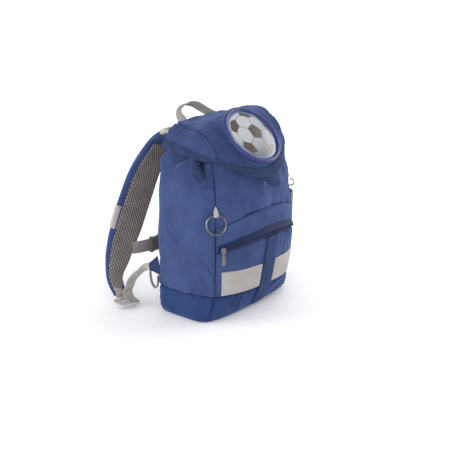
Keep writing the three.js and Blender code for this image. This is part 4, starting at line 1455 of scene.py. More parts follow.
@dataclass
class SidePocket:
    """Mesh pocket on the right side, under an elastic hem."""

    first: float = -32.0
    last: float = 20.0
    swell: float = 10.0
    top: float = 160.0
    hem: float = 10.0
    mesh_thickness: float = 1.4

    def skin(self, angle: Array, z: Array, out: Array) -> Array:
        """The pocket's face: the bag's side, swollen by a half sine across and a step upwards.

        Args:
            angle: Direction round the section, in degrees.
            z: Height.
            out: Offset outwards.

        Returns:
            Points in the common shape of angle and z.
        """
        step = 0.02
        turn = np.radians(angle)
        share = np.clip((angle - self.first) / (self.last - self.first), 0.0, 1.0)
        swell = np.sin(np.pi * share) ** 0.5 * smoothstep(z, BAG.base_seam, self.top - 20.0)
        lead = BAG.section(turn + step, z) - BAG.section(turn - step, z)
        out = SEAM_GAP + self.swell * swell + out
        return BAG.section(turn, z) + unit(np.cross(lead, UP)) * out[..., None]

    def panel(
        self, name: str, look: Look, slot: str, node: str, z: Array, thick: float, wave: float
    ) -> None:
        """A panel with two faces: up the outside, over the edge and down the inside.

        Args:
            name: Name of the piece.
            look: Its finish.
            slot: The record's material slot.
            node: The solid that it replaces.
            z: Heights from its lower to its upper edge.
            thick: Its thickness.
            wave: Height of the elastic's gathers.
        """
        angle, z = np.linspace(self.first, self.last, 110), z[:, None]
        gather = wave * np.sin(angle * 3.1 + 0.8 * np.sin(angle)) * np.ones_like(z)
        faces = [self.skin(angle, z, thick + gather), self.skin(angle, z[::-1], gather)]
        piece(name, look, slot, [node], Surface(np.concatenate(faces), wrap_v=True).shell())

    def dress(self) -> None:
        """Builds the mesh and the hem."""
        line = self.top - self.hem
        z = np.linspace(BAG.base_seam + 3.0, line, 60)
        mesh, hem = ("taupe_mesh", "side_pocket_mesh"), ("taupe_webbing", "side_pocket_hem")
        self.panel("side_mesh", Look.MESH, *mesh, z, self.mesh_thickness, 0.0)
        self.panel("side_hem", Look.TAUPE_WEB, *hem, np.linspace(line, self.top, 60), CLOTH, 0.5)


@dataclass
class Lid:
    """The flap lid: crown and gussets in one cloth, a folded hem and a pull tab."""

    columns: int = 300
    rows: int = 190
    half_width: float = 105.0
    length: float = 150.0
    hem_lift: float = 0.9
    hem_depth: float = 0.7
    tab_width: float = 20.0
    stitch_places: tuple[float, float] = (0.68, 0.76)

    def cloth(self) -> None:
        """The lid's cloth: its skin, with grooves along the seams and soft swellings between."""
        u = np.linspace(-1.0, 1.0, self.columns)[None] * (1.0 - 0.5 * LID.hem_side)
        v = np.linspace(0.0, 1.0, self.rows)[:, None] * (1.0 - 0.5 * LID.hem_front)
        u, v = np.broadcast_arrays(u, v)
        x, y = u * self.half_width, v * self.length
        off = (np.abs(u) - LID.seam) * self.half_width
        pucker = np.sin(y / 1.5 + np.sin(y / 6.0))
        lift = -1.7 * bell(off, 1.4) + bell(np.abs(off) - 4.0, 3.0) * (0.7 + 0.35 * pucker)
        front = smoothstep(v, 0.865, 0.88)
        lift -= 0.9 * bell(x, 1.2) * front
        lift += 1.5 * ripple(x, y, 62.0, 51) + 0.7 * ripple(x, y, 30.0, 53)
        crease = bell(ripple(x + 0.4 * y, y * 0.6, 34.0, 57), 0.14)
        lift -= crease * smoothstep(ripple(x, y, 80.0, 58), 0.0, 0.7)
        edge = smoothstep(np.minimum(1.0 - np.abs(u), 0.95 - v), 0.04, 0.16)
        points = LID.wall(u, v, lift * (0.35 + 0.65 * edge))
        points = np.concatenate([points[:1] + np.array([0.0, 0.6, -3.0]), points])
        dark = np.maximum(bell(off, 0.9), front * bell(x, 0.9))
        dark = np.concatenate([np.ones((1, self.columns)), dark])
        skin = Surface(points, values={"seam": dark})
        normals, rows = skin.normals(), slice(8, 170)
        places = [side * place for side in (-1, 1) for place in self.stitch_places]
        at = [int(np.abs(u[0] - place).argmin()) for place in places]
        sewn = [stitches(points[rows, c], normals[rows, c]) for c in at]
        nodes = ["lid_crown", "lid_gusset_left", "lid_gusset_right"]
        # The lid's cloth takes the slightly darker copy of the canvas, as painted shade
        piece("lid_cloth", Look.LID, "canvas", nodes, skin.shell(), *sewn)

    def band(self, t: Array, share: Array, out: Array) -> Array:
        """A place on the hem band: t runs round the edge from the back left to the back right.

        Args:
            t: From 0 to 3, one for each of the three edges.
            share: 0 at the edge and 1 at the band's inner side.
            out: Offset outwards.

        Returns:
            Points in the common shape of the arguments.
        """
        u = -1.0 + 2.0 * np.clip(t - 1.0, 0.0, 1.0)
        v = np.clip(t, 0.0, 1.0) - np.clip(t - 2.0, 0.0, 1.0)
        return LID.wall(u * (1.0 - LID.hem_side * share), v * (1.0 - LID.hem_front * share), out)

    def hem(self) -> None:
        """The folded hem: a closed flat section round the lid's edge, with two stitch rows."""
        t, turn = np.linspace(0.0, 3.0, 420), turns(28)
        share = 0.43 - 0.47 * power(np.cos(turn), 0.5)
        thick = self.hem_lift + self.hem_depth
        out = -self.hem_depth + thick * power(np.sin(turn), 0.55)
        wave = 0.25 * np.sin(t * 31.0 + 2.0 * np.sin(t * 9.0))
        band = Surface(self.band(t[:, None], share, out + wave[:, None]), wrap_u=True)
        sewn = []
        for place in (0.2, 0.72):
            line = self.band(t, place, self.hem_lift + 0.15 + wave)
            up = unit(self.band(t, place, np.full_like(t, 9.0)) - line)
            sewn.append(stitches(line, up, 3.6, 2.4, 0.34))
        # The hem takes the much darker copy of the canvas, as painted shade
        piece("lid_edge", Look.HEM, "hem_canvas", ["lid_hem"], band.shell(), *sewn)

    def tab(self) -> None:
        """Pull tab: webbing folded back on itself, swept from under the hem to its free end."""
        lift = -CLOTH - SEAM_GAP - WEBBING / 2.0
        sewn = LID.wall(np.zeros(3), np.array([0.93, 0.97, 1.0]), np.full(3, lift))
        free = sewn[-1] + np.array([[0.0, -4.0, -4.0], [0.0, -16.0, -10.0]])
        path = smooth_path(np.concatenate([sewn, free]), 60)
        web = sweep(path, RIGHT, flat_profile(self.tab_width, WEBBING * 1.5, 28))
        place = np.linspace(0.0, 1.0, len(web.points))[:, None]
        web.values["seam"] = bell((place - 0.3) * 40.0, 1.0) * 0.7
        piece("pull_tab", Look.BLUE_WEB, "blue_webbing", ["lid_tab"], web.shell())

    def dress(self) -> None:
        """Builds the lid's pieces."""
        self.cloth()
        self.hem()
        self.tab()


@dataclass
class Emblem:
    """Padded round emblem on the lid: a cloth seat, a ring of piping and a domed print."""

    radius: float = 47.2
    piping: float = 3.8
    tilt: float = 45.5
    centre: Place = (-0.8, -40.6, 270.6)
    foot_radius: float = 54.0
    ball_radius: float = 40.2
    ball_turn: tuple[float, float, float] = (0.5, 0.35, 0.2)
    patch_distance: float = 2.32744
    panel_distance: float = 2.26728

    def axes(self) -> tuple[Array, Array, Array]:
        """The emblem's own frame.

        Returns:
            Directions to its right, to its top and out of its face.
        """
        tilt = np.radians(self.tilt)
        face = np.array([0.0, -np.cos(tilt), np.sin(tilt)])
        return RIGHT, np.cross(face, RIGHT), face

    def place(self, reach: Array, turn: Array, height: Array) -> Array:
        """Points at a reach and a turn round the emblem's middle, at a height over its face."""
        parts = np.broadcast_arrays(reach * np.cos(turn), reach * np.sin(turn), height)
        return np.array(self.centre) + np.stack(parts, axis=-1) @ np.stack(self.axes())

    def ring(self) -> None:
        """The piping: a circle swept round the emblem, a little uneven in height."""
        turn = turns(220)
        uneven = 0.4 * np.sin(turn * 3.0 + 1.0) + 0.25 * np.sin(turn * 7.0)
        path = self.place(self.radius, turn, uneven)
        out = self.place(1.0, turn, 0.0) - np.array(self.centre)
        circle = flat_profile(2.0 * self.piping, 2.0 * self.piping, 24, 2.0)
        cord = sweep(path, out, circle, closed=True)
        piece("emblem_piping", Look.PIPING, "piping", ["emblem_ring"], cord.shell())

    def seat(self) -> None:
        """The cloth seat: it falls from the ring to the lid in a soft fillet.

        The foot of each column is the point of the lid that lies nearest under the ring.
        """
        u, v = np.meshgrid(np.linspace(-0.72, 0.72, 160), np.linspace(0.15, 0.99, 160))
        skin = LID.wall(u, v, np.full(u.shape, 0.3)).reshape(-1, 3) - np.array(self.centre)
        right, top, face = self.axes()
        turn, share = turns(200), np.linspace(0.0, 1.0, 14)[:, None]
        wanted = self.foot_radius * np.stack([np.cos(turn), np.sin(turn)], axis=1)
        flat = np.stack([skin @ right, skin @ top], axis=1)
        nearest = ((flat[None] - wanted[:, None]) ** 2).sum(axis=2).argmin(axis=1)
        foot = np.minimum((skin @ face)[nearest], -4.0) - 0.6
        foot = np.convolve(np.pad(foot, 6, mode="wrap"), np.ones(13) / 13.0, mode="valid")
        height = -3.0 + (foot + 3.0) * share**0.8
        height = height + 0.5 * np.sin(turn * 17.0) * np.sin(np.pi * share)
        points = self.place(self.radius - 1.0 + 5.0 * share**2.2, turn, height)
        shell = Surface(points, wrap_u=True).shell()
        # The seat takes the slightly darker copy of the canvas, as painted shade round the ring
        seat = piece("emblem_seat", Look.LID, "piping", ["emblem_pad"], shell)

    def panels(self) -> Array:
        """Middles of a ball's 32 panels, each at the inverse of its distance from the ball's.

        The 12 patches stand at the corners of an icosahedron, and the 20 pale panels at the
        middles of its faces: sums of three corners that are all neighbours.

        Returns:
            The patches first, then the pale panels.
        """
        golden = (1.0 + 5.0**0.5) / 2.0
        a, b = (grid.reshape(-1, 1) for grid in np.meshgrid([-1.0, 1.0], [-golden, golden]))
        flat = np.hstack([np.zeros_like(a), a, b])
        corners = np.concatenate([np.roll(flat, way, axis=1) for way in (0, 2, 1)])
        near = np.linalg.norm(corners[:, None] - corners, axis=2) < 2.1
        i, j, k = np.nonzero(near[:, :, None] & near[:, None] & near[None])
        first = (i < j) & (j < k)
        middles = corners[i[first]] + corners[j[first]] + corners[k[first]]
        patches = unit(corners) / self.patch_distance
        return np.concatenate([patches, unit(middles) / self.panel_distance])

    def pattern(self, x: Array, y: Array) -> dict[str, Array]:
        """The print, by formula: each place on the ball belongs to the nearest of its panels.

        A place near two panels lies on a seam line.

        Args:
            x: Place to the right of the middle.
            y: Place above it.

        Returns:
            Named shares of ground, patch, line and tone.
        """
        about_x, about_y, about_z = (
            np.array(Matrix.Rotation(turn, 3, axis)) for turn, axis in zip(self.ball_turn, "XYZ")
        )
        x, y = x / self.ball_radius, y / self.ball_radius
        reach = np.hypot(x, y)
        front = np.sqrt(np.maximum(1.0 - reach**2, 0.0))
        ball = np.stack([x, y, front], axis=-1) @ about_x @ about_y @ about_z
        score = ball @ self.panels().T
        order = np.sort(score, axis=-1)
        lead = score[..., :12].max(axis=-1) - score[..., 12:].max(axis=-1)
        return {
            "ground": smoothstep(reach, 0.985, 1.01),
            "patch": smoothstep(lead, -0.002, 0.004),
            "line": 1.0 - smoothstep(order[..., -1] - order[..., -2], 0.002, 0.007),
            "tone": smoothstep(0.75 - 0.55 * y + 0.35 * x - 0.5 * front, 0.0, 1.1),
        }

    def disc(self) -> None:
        """The domed print: circles from the rim to the middle, raised by a flat dome."""
        share = np.concatenate([[1.0, 1.0], np.linspace(1.0, 0.002, 110)])[:, None]
        reach, turn = (self.radius - self.piping + 0.6) * share, turns(260)
        height = 0.4 + 3.6 * (1.0 - share**2)
        height[0], height[1] = -4.0, -0.6
        values = self.pattern(reach * np.cos(turn), reach * np.sin(turn))
        film = Surface(self.place(reach, turn, height), wrap_u=True, values=values)
        piece("emblem_film", Look.PRINT, "print", ["emblem_disc"], film.shell())

    def dress(self) -> None:
        """Builds the emblem's pieces."""
        self.seat()
        self.ring()
        self.disc()


@dataclass
class Handle:
    """Carry handle of webbing behind the lid."""

    width: float = 19.0
    thickness: float = 2.4
    on_edge: Place = (0.0, 0.89, -0.45)
    route: Table = Table(
        "x y z",
        (-48, 52.4, 277),
        (-48, 53.4, 284),
        (-47, 60, 294),
        (-40, 65, 302),
        (-24, 69, 307),
        (-4, 70, 303.2),
        (17, 68, 291.2),
        (35, 61, 280),
        (46, 54, 274.4),
        (48, 52.4, 269),
    )

    def dress(self) -> None:
        """Sweeps a flat section along the arch: flat on the back at its feet, on edge between."""
        path = smooth_path(self.route.rows, 130)
        s = np.linspace(0.0, 1.0, len(path))[:, None]
        turned = smoothstep(s, 0.1, 0.36) - smoothstep(s, 0.74, 0.98)
        across = np.where(s < 0.5, 1.0, -1.0) * RIGHT * (1.0 - turned)
        across = across + np.array(self.on_edge) * turned
        web = sweep(path, across, flat_profile(self.width, self.thickness, 28))
        place = np.abs(np.linspace(-1.0, 1.0, len(web.points)))[:, None]
        web.values["seam"] = bell((place - 0.93) * 60.0, 1.0) * 0.6
        piece("handle_web", Look.GREY_WEB, "grey_webbing", ["carry_handle"], web.shell())


@dataclass
class ShoulderStrap:
    """One shoulder strap with its lock, lower webbing, wing tab and hanging loop.

    All is worked out for the left side, and mirrored where the strap is the right one.
    """

    side: Side
    thickness: float = 8.5
    mesh_thickness: float = 3.0
    mesh_inset: tuple[float, float] = (0.3, 0.08)
    stations: int = 190
    mesh_run: tuple[float, float] = (4.0 / 24.0, 23.3 / 24.0)
    band_run: tuple[float, float] = (13.0 / 24.0, 16.0 / 24.0)
    root_run: tuple[float, float] = (1.0 / 24.0, 2.0 / 24.0)
    lock_size: Place = (37.0, 30.0, 4.5)
    lock_bar: float = 2.8
    lock_height: float = 6.0
    wing_root: Place = (-105.0, 54.2, 71.0)
    wing_tip: Place = (-110.0, 70.0, 67.5)
    eyelet_height: float = 29.0
    path: Table = Table(
        "x y z",
        (-45, 55, 263),
        (-46, 67, 268),
        (-49, 86, 256),
        (-55, 103, 232),
        (-63.5, 120, 198),
        (-74, 131, 157),
        (-88, 139.5, 111),
        (-103.5, 144, 67),
        (-118, 139, 36),
        (-124, 122, 15),
    )
    width: Table = Table(
        "s half twist",
        (0, 22, 0),
        (0.12, 26, -6),
        (0.3, 27.5, -14),
        (0.6, 27.5, -18),
        (0.8, 20.5, -26),
        (0.9, 13.5, -32),
        (1, 10, -42),
    )
    hang: Table = Table(
        "share up",
        (0.93, -5.6),
        (0.93, -13),
        (0.82, -25),
        (0.58, -33),
        (0.38, -35.5),
        (0.22, -31.5),
        (0.16, -23),
        (0.15, -15.3),
    )

    def put(
        self,
        stem: str,
        look: Look,
        slot: str,
        node: str,
        *surfaces: Surface,
        sewn: Sequence[Shell] = (),
    ) -> bpy.types.Object:
        """Writes surfaces of the left side as a piece of this strap's side.

        Args:
            stem: Name of the piece without its side.
            look: Its finish.
            slot: The record's material slot.
            node: The solid that it replaces, without its side, or nothing.
            surfaces: Its surfaces.
            sewn: Its stitch rows, already on this side.

        Returns:
            The new object.
        """
        for surface in surfaces:
            surface.points = self.side.place(surface.points)
        nodes = [self.side.node(node)] if node else []
        shells = [surface.shell() for surface in surfaces]
        return piece(self.side.node(stem), look, slot, nodes, *shells, *sewn)

    def frame(self, s: Array) -> tuple[Array, Array, Array, Array]:
        """The strap's frame at shares of its length.

        Args:
            s: Shares from 0 at the root to 1 at the lock.

        Returns:
            Places, directions of the width, outward directions and half widths.
        """
        line = smooth_path(self.path.rows, 600)
        fine = np.linspace(0.0, 1.0, len(line))
        tangent = unit(between(unit(np.gradient(line, axis=0)), fine, s))
        twist = np.radians(self.width.at("twist", s))
        across = np.stack([np.cos(twist), np.sin(twist), np.zeros_like(twist)], axis=-1)
        across = square_to(across, tangent)
        out = np.cross(across, tangent)
        return between(line, fine, s), across, out, self.width.at("half", s)

    def loft(self, s: Array, section: Callable[[Array], Array], cap: bool = True) -> Surface:
        """Closed sections along the strap.

        Args:
            s: Shares of the length.
            section: Gives the section's points (station, place, 2) for the half widths.
            cap: Whether the ends are closed.

        Returns:
            The surface.
        """
        *frames, half = self.frame(s)
        length = run_along(smooth_path(self.path.rows, 600))[-1]
        return tube(*frames, section(half), s * length, cap=cap)

    def padded_section(self, half: Array) -> Array:
        """Plump section of the strap: a superellipse, fuller on its outer face, nipped at the edge.

        Args:
            half: Half width at each station.

        Returns:
            Section points, as (station, place, 2).
        """
        turn = turns(56)
        a = half[:, None] * power(np.cos(turn), 0.42)
        b = 0.5 * self.thickness * (1.0 + power(np.sin(turn), 0.7))
        nip = 0.9 * bell(b - 3.0, 0.7) * (np.abs(np.cos(turn)) > 0.8)
        return np.stack([a - np.sign(a) * nip, np.broadcast_to(b, a.shape)], axis=-1)

    def mesh_section(self, half: Array) -> Array:
        """Section of the spacer mesh: a flat cushion on the strap's inner face.

        Args:
            half: Half width at each station.

        Returns:
            Section points, as (station, place, 2).
        """
        turn = turns(64)
        left, right = (half[:, None] * inset for inset in self.mesh_inset)
        wide = half[:, None] - 0.5 * (left + right)
        a = 0.5 * (left - right) + wide * power(np.cos(turn), 0.3)
        b = -0.3 - 0.5 * self.mesh_thickness * (1.0 - power(np.sin(turn), 0.55))
        return np.stack([a, np.broadcast_to(b, a.shape)], axis=-1)

    def sleeve_section(self, half: Array) -> Array:
        """Section of tape round the strap: its outer run, and back a tape's thickness further in.

        Args:
            half: Half width at each station.

        Returns:
            Section points, as (station, place, 2).
        """
        turn = np.linspace(-0.12 * np.pi, 1.34 * np.pi, 48)
        runs = []
        for wide, thick, way in ((1.1, 0.9, 1), (0.3, 0.2, -1)):
            cos, sin = np.cos(turn[::way]), np.sin(turn[::way])
            a = (half[:, None] + wide) * power(cos, 0.42)
            b = self.thickness * 0.5 * (1.0 + power(sin, 0.7)) + thick * power(sin, 0.4)
            runs.append(np.stack([a, np.broadcast_to(b, a.shape)], axis=-1))
        return np.concatenate(runs, axis=1)

    def sewing(self) -> list[Shell]:
        """Stitch rows along the strap: two on the outer face, one on the inner margin.

        Returns:
            The mesh arrays of each row.
        """
        centre, across, outward, half = self.frame(np.linspace(0.1, 0.97, 120))
        half, top = half[:, None], self.thickness - 0.12
        rows = [(half - 4.6, top), (4.6 - half, top), (3.0 - half, 0.35)]
        lines = [self.side.place(centre + across * a + outward * b) for a, b in rows]
        return [stitches(line, self.side.place(outward)) for line in lines]

    def lock_frame(self) -> tuple[Array, Array, Array, Array]:
        """Frame of the ladder lock: its centre, its length, its width and its lower face.

        Returns:
            A place and three directions.
        """
        down = unit(np.array([-0.21, -0.97, -0.05]))
        across = unit(np.cross(UP, down))
        middle = self.frame(np.array([1.0]))[0][0] + down * (self.lock_size[1] / 2.0 + 2.0)
        middle[2] = self.lock_height
        return middle, down, across, np.cross(across, down)

    def lock(self) -> None:
        """The ladder lock: a bar swept round a rounded rectangle, with two bars across it."""
        middle, down, across, face = self.lock_frame()
        width, length, thick = self.lock_size
        turn = turns(140)[:, None]
        a = (width / 2.0 - 2.6) * power(np.cos(turn), 0.36)
        b = (length / 2.0 - self.lock_bar) * power(np.sin(turn), 0.36)
        rim = flat_profile(thick, 5.4, 20, 3.0)
        bars = [sweep(middle + across * a + down * b, face, rim, closed=True)]
        span = np.linspace(3.0 - width / 2.0, width / 2.0 - 3.0, 12)[:, None]
        for place, wide in ((-0.5, 7.0), (8.4, 3.0)):
            line = middle + down * place + across * span
            bars.append(sweep(line, down, flat_profile(wide, thick * 0.8, 20, 3.0)))
        self.put("lock_plate", Look.LIGHT_PLASTIC, "grey_plastic", "ladder_lock", *bars)

    def wing_line(self) -> tuple[Array, Array, Array, Array]:
        """The line of the wing tab.

        Returns:
            Its root, its run to the tip, its direction and the level one across it.
        """
        root = np.array(self.wing_root)
        run = np.array(self.wing_tip) - root
        return root, run, unit(run), np.cross(UP, unit(run))

    def lower_web(self) -> None:
        """Webbing from the wing tab down to the lock, turning from upright to flat on the way."""
        middle, down, across, face = self.lock_frame()
        root, run, out, aside = self.wing_line()
        lift = self.lock_size[2] / 2.0 + SEAM_GAP + WEBBING / 2.0
        tip = root + run + out * SEAM_GAP
        on_lock = [middle + down * k * self.lock_size[1] - face * lift for k in (-0.12, 0.05, 0.45)]
        route = [
            tip,
            tip + out * 6.0,
            (-119, 85, 57),
            (-124.5, 94, 45),
            (-125.5, 99, 33),
            on_lock[0] + across * 5.0 + UP * 10.0,
            on_lock[1] + across * 6.0 + UP * 1.5,
            on_lock[2] + across * 6.0,
        ]
        path = smooth_path(route, 110)
        s = np.linspace(0.0, 1.0, len(path))[:, None]
        level, turned = 0.45 * smoothstep(s, 0.02, 0.2), smoothstep(s, 0.2, 0.55)
        laid = UP * (1.0 - level) + aside * level
        wide = 11.0 + 6.0 * smoothstep(s[:, 0], 0.02, 0.45)
        profile = flat_profile(wide, WEBBING, 48)
        web = sweep(path, laid * (1.0 - turned) - across * turned, profile)
        eyelet = path[np.abs(path[:, 2] - self.eyelet_height).argmin()]
        # The webbing is darker in a small spot at the eyelet
        web.values["seam"] = bell(np.linalg.norm(web.points - eyelet, axis=-1), 1.7)
        self.put("adjuster_web", Look.GREY_WEB, "grey_webbing", "lower_webbing", web)

    def keeper(self) -> None:
        """Short tape from the strap's end round the lock's first bar."""
        middle, down, across, face = self.lock_frame()
        centre, _, outward, _ = self.frame(np.array([0.965, 0.985, 1.0]))
        bar = middle - down * (self.lock_size[1] / 2.0 - self.lock_bar)
        turn = [(-4.0, 2.0), (0.0, 3.6), (4.2, 1.0)]
        route = [*(centre - outward * 0.9), *(bar + down * a - face * b for a, b in turn)]
        web = sweep(smooth_path(route, 50), across, flat_profile(15.0, WEBBING, 28))
        self.put("keeper_tape", Look.GREY_WEB, "grey_webbing", "", web)

    def wing(self) -> None:
        """Wing tab: an upright flat section that narrows from the bag's corner to its tip."""
        root, run, _, _ = self.wing_line()
        share = np.linspace(0.0, 1.0, 30)
        half = np.interp(share, [0.0, 0.5, 1.0], [16.0, 10.5, 5.5])
        tab = sweep(root + run * share[:, None], UP, flat_profile(2.0 * half, 3.0, 36, 4.0))
        # The wing tab takes the much darker copy of the canvas, as painted shade
        self.put("wing_cloth", Look.HEM, "canvas", "wing_tab", tab)

    def loop(self) -> None:
        """Loop of narrow webbing that hangs under the wing tab."""
        root, run, _, aside = self.wing_line()
        share, up = (column[:, None] for column in self.hang.rows.T)
        path = smooth_path(root + run * share + UP * up, 80)
        web = sweep(path, aside, flat_profile(7.0, 1.2, 24))
        self.put("hanging_loop", Look.GREY_WEB, "grey_webbing", "tail_loop", web)

    def dress(self) -> None:
        """Builds every piece of this strap."""
        pad = self.loft(np.linspace(0.0, 1.0, self.stations), self.padded_section)
        sewn = self.sewing()
        shell = self.put("strap_pad", Look.CANVAS, "canvas", "strap_shell", pad, sewn=sewn)
        net = self.loft(np.linspace(*self.mesh_run, self.stations), self.mesh_section)
        mesh = self.put("strap_net", Look.MESH, "taupe_mesh", "strap_mesh", net)
        band, root = (
            self.loft(np.linspace(*run, 26), self.sleeve_section, cap=False)
            for run in (self.band_run, self.root_run)
        )
        self.put("strap_band", Look.REFLECTIVE, "reflective", "strap_reflector", band)
        self.put("root_tape", Look.GREY_WEB, "grey_webbing", "strap_root_tape", root)
        self.lock()
        self.lower_web()
        self.keeper()
        self.wing()
        self.loop()


@dataclass
class ChestStrap:
    """Chest strap between the shoulder straps, with its buckle fastened off centre."""

    height: float = 78.0
    depth: float = 123.0
    width: float = 20.0
    left: Table = Table("x back sag", (-86.5, 7.4, 0), (-73, 1.6, 0), (-54.8, 0, 1))
    right: Table = Table(
        "x back sag", (-7.2, 0, 2), (20, 0, 4), (50, 0, 2), (73, 1.6, 0), (86.5, 7.4, 0)
    )
    socket: Table = Table(
        "x half deep",
        (-54, 11.5, 3),
        (-52.8, 13, 4.2),
        (-49.6, 13, 4.2),
        (-48.6, 12.2, 3.3),
        (-37, 12.2, 3.3),
        (-36, 13, 4.2),
        (-31.4, 13, 4.2),
        (-30.4, 12, 3.8),
    )
    plug: Table = Table(
        "x half deep",
        (-30, 10, 2.8),
        (-25, 10.4, 2.8),
        (-23.8, 11.6, 3.4),
        (-20, 11.8, 3.4),
        (-18.8, 11, 2.7),
        (-13.5, 11, 2.7),
        (-12.4, 12, 3.4),
        (-9, 12, 3.4),
        (-8, 11, 2.6),
    )

    def web(self, name: str, node: str, rows: Table) -> None:
        """One length of the webbing.

        Args:
            name: Name of the piece.
            node: The solid that it replaces.
            rows: Its route: place along X, distance back and sag.
        """
        x, back, sag = rows.rows.T
        path = smooth_path(np.stack([x, self.depth + back, self.height - sag], axis=1), 70)
        web = sweep(path, UP, flat_profile(self.width, WEBBING, 28))
        piece(name, Look.TAUPE_WEB, "taupe_webbing", [node], web.shell())

    def half(self, name: str, node: str, rows: Table) -> None:
        """One half of the buckle: rounded rectangular sections along X, with a low ridge.

        Args:
            name: Name of the piece.
            node: The solid that it replaces.
            rows: Place along X, half height and half depth.
        """
        x = np.linspace(*rows.column("x")[[0, -1]], 50)[:, None]
        path = RIGHT * x + np.array([0.0, self.depth, self.height - 1.5])
        x = x[:, 0]
        ridge = 1.0 + 0.06 * bell((x - x.mean()) / 2.0, 1.0)
        profile = flat_profile(2.0 * rows.at("half", x), 2.0 * rows.at("deep", x) * ridge, 40, 4.5)
        piece(name, Look.DARK_PLASTIC, "dark_plastic", [node], sweep(path, UP, profile).shell())

    def dress(self) -> None:
        """Builds the webbing and the buckle."""
        self.web("chest_left", "chest_web_left", self.left)
        self.web("chest_right", "chest_web_right", self.right)
        self.half("buckle_socket", "chest_socket", self.socket)
        self.half("buckle_plug", "chest_plug", self.plug)


@dataclass
class Trim:
    """Loops in the two front seams and the split ring on the left one."""

    height: float = 180.0
    ring_radius: float = 14.6
    ring_lean: float = 13.0
    ring_seat: tuple[float, float] = (4.6, -11.1)
    wire: float = 1.4
    loop_width: float = 6.6
    pulled: Table = Table(
        "out up",
        (1.4, 0),
        (3.4, -1),
        (6.8, -6),
        (7.6, -11),
        (4.8, -14.6),
        (2.0, -11.5),
        (1.5, -6),
        (1.4, -1.6),
    )
    round: Table = Table(
        "out up", (1.4, 5), (4, 5.4), (6.8, 3.4), (7.6, 0), (6.6, -3.2), (4, -4.4), (1.4, -3.6)
    )

    def frame(self, side: Side) -> tuple[Array, Array, Array]:
        """Place of the seam, the direction out of it and the level direction along the cloth.

        Args:
            side: Which seam.

        Returns:
            A place and two directions.
        """
        x = side.value * BAG.seam_x
        at = BAG.front(x, self.height, 0.0)
        outward = unit(BAG.front(x, self.height, 10.0) - at)
        return at, outward, np.cross(UP, outward)

    def loop(self, side: Side, rows: Table, pinch: float) -> None:
        """A loop of narrow webbing, swept along its route out of the seam and back.

        Args:
            side: Which seam.
            rows: The route, out of the seam and up.
            pinch: Share of its width that the seam takes in at the root.
        """
        at, outward, level = self.frame(side)
        out, up = (column[:, None] for column in rows.rows.T)
        path = smooth_path(at + outward * out + UP * up, 80)
        rise = path[:, 2] - self.height
        width = self.loop_width * (1.0 - pinch * smoothstep(rise, -9.0, 2.0))
        web = sweep(path, level, flat_profile(width, 1.4, 24))
        nodes = [side.node("seam_loop")]
        piece(side.node("cloth_loop"), Look.GREY_WEB, "grey_webbing", nodes, web.shell())

    def ring(self) -> None:
        """Split ring: two turns of wire side by side, as one helix with a small rise."""
        at, outward, level = self.frame(Side.LEFT)
        lean = np.radians(self.ring_lean)
        down = outward * np.sin(lean) - UP * np.cos(lean)
        facing = np.cross(level, down)
        out, up = self.ring_seat
        middle = at + outward * out + UP * up + down * self.ring_radius
        turn = np.linspace(0.3, 0.3 + 4.0 * np.pi - 0.25, 260)[:, None]
        step = smoothstep(turn, 2.0 * np.pi - 0.6, 2.0 * np.pi + 1.2) - 0.5
        circle = level * np.cos(turn) + down * np.sin(turn)
        path = middle + self.ring_radius * circle + facing * self.wire * 1.02 * step
        wire = sweep(path, facing, flat_profile(self.wire, 2.4, 16, 2.6))
        piece("split_ring", Look.STEEL, "steel", ["key_ring"], wire.shell())

    def dress(self) -> None:
        """Builds the loops and the ring."""
        self.loop(Side.LEFT, self.pulled, 0.75)
        self.loop(Side.RIGHT, self.round, 0.0)
        self.ring()


def aim(place: Array, target: Array) -> Matrix:
    """A frame at a place that looks at a target, with its top upwards.

    Args:
        place: Where it stands.
        target: What it looks at.

    Returns:
        The frame's matrix.
    """
    back = unit(place - target)
    right = unit(np.cross(UP, back))
    matrix = np.eye(4)
    matrix[:3] = np.stack([right, np.cross(back, right), back, place], axis=1)
    return Matrix(matrix.tolist())


@dataclass(frozen=True)
class Lamp:
    """A square soft light, in metres and watts, and the place that it faces."""

    name: str
    place: Place
    size: float
    watts: float
    target: Place = (0.0, 0.0, 0.13)

    def hang(self) -> None:
        """Adds the light to the scene."""
        data = bpy.data.lights.new(self.name, "AREA")
        data.size, data.energy = self.size, self.watts
        obj = bpy.data.objects.new(self.name, data)
        obj.matrix_world = aim(np.array(self.place), np.array(self.target))
        bpy.context.scene.collection.objects.link(obj)


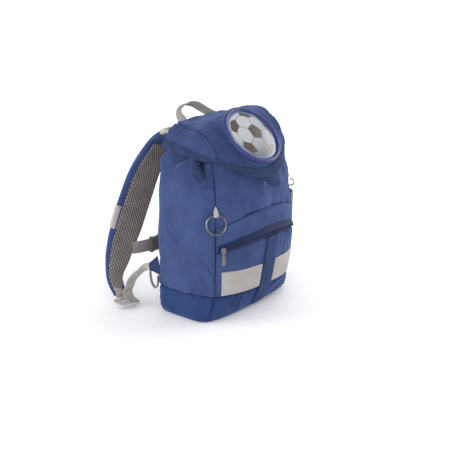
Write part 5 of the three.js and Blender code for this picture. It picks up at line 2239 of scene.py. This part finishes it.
@dataclass
class Studio:
    """Pale floor, soft lights and the camera."""

    azimuth: float = -50.0
    elevation: float = 16.5
    distance: float = 1.6
    lens: float = 83.2
    sensor: float = 36.0
    target: Place = (0.0, 0.0, 0.158)
    target_offset: tuple[float, float] = (6.0 / 1040.0, 22.4 / 1040.0)
    walls: float = 1.5
    ceiling: float = 0.15
    floor_half: float = 30000.0
    floor_drop: float = 0.2
    lamps: tuple[Lamp, ...] = (
        Lamp("key", (-1.9, -1.1, 0.8), 1.3, 27.0),
        Lamp("fill", (2.2, -0.9, 0.8), 1.5, 36.0),
        Lamp("edge", (-1.5, 1.5, 0.9), 1.2, 24.0),
        Lamp("top", (0.3, -0.3, 2.2), 1.6, 11.0),
        Lamp("floor", (1.7, 1.5, 1.5), 2.4, 26.0, (2.1, 1.8, 0.0)),
        Lamp("far_floor", (5.0, 4.2, 2.6), 4.0, 150.0, (5.6, 4.7, 0.0)),
    )

    def floor(self) -> None:
        """A wide pale floor with a faint grain."""
        line = np.linspace(-self.floor_half, self.floor_half, 9)
        x, y = np.meshgrid(line, line)
        points = np.stack([x, y, np.full_like(x, -self.floor_drop)], axis=-1)
        floor = make("floor", Surface(points).shell())
        tree = Tree("floor")
        grain = tree.noise(300.0, 2.0)
        tree.set(Base_Color=tree.mix(grain, srgb(246, 246, 247), srgb(242, 242, 244)))
        tree.set(Roughness=0.7)
        floor.data.materials.append(tree.material)

    def camera(self) -> None:
        """The camera, turned so that its target lies a little above and right of the middle."""
        a, e = np.radians(self.azimuth), np.radians(self.elevation)
        back = np.array([np.sin(a) * np.cos(e), -np.cos(a) * np.cos(e), np.sin(e)])
        right = np.array([np.cos(a), np.sin(a), 0.0])
        place = np.array(self.target) + back * self.distance
        over, above = self.target_offset
        look = -back - right * over - np.cross(back, right) * above
        data = bpy.data.cameras.new("camera")
        data.lens, data.sensor_width = self.lens, self.sensor
        camera = bpy.data.objects.new("camera", data)
        camera.matrix_world = aim(place, place + look)
        bpy.context.scene.collection.objects.link(camera)
        bpy.context.scene.camera = camera

    def surroundings(self) -> None:
        """A white studio whose ceiling is dimmer than its walls."""
        world = bpy.data.worlds.new("studio")
        world.use_nodes = True
        nodes, links = world.node_tree.nodes, world.node_tree.links
        parted = nodes.new("ShaderNodeSeparateXYZ")
        fade = nodes.new("ShaderNodeMapRange")
        links.new(nodes.new("ShaderNodeTexCoord").outputs["Generated"], parted.inputs[0])
        links.new(parted.outputs["Z"], fade.inputs["Value"])
        fade.inputs["To Min"].default_value = self.walls
        fade.inputs["To Max"].default_value = self.ceiling
        background = nodes["Background"]
        background.inputs["Color"].default_value = (1.0, 1.0, 1.0, 1.0)
        links.new(fade.outputs["Result"], background.inputs["Strength"])
        bpy.context.scene.world = world

    def build(self) -> None:
        """Sets up the floor, the lights, the surroundings and the camera."""
        self.floor()
        for lamp in self.lamps:
            lamp.hang()
        self.surroundings()
        bpy.context.scene.view_settings.view_transform = "Standard"
        self.camera()


def main() -> None:
    """Builds every sub-assembly in order."""
    logging.basicConfig(level=logging.INFO, format="%(message)s")
    Studio().build()
    assemblies = [
        Sack(),
        FrontPocket(),
        SidePocket(),
        Lid(),
        Emblem(),
        Handle(),
        *(ShoulderStrap(side) for side in Side),
        ChestStrap(),
        Trim(),
    ]
    for assembly in assemblies:
        LOG.info("building %s", type(assembly).__name__)
        assembly.dress()


if __name__ == "__main__":
    main()
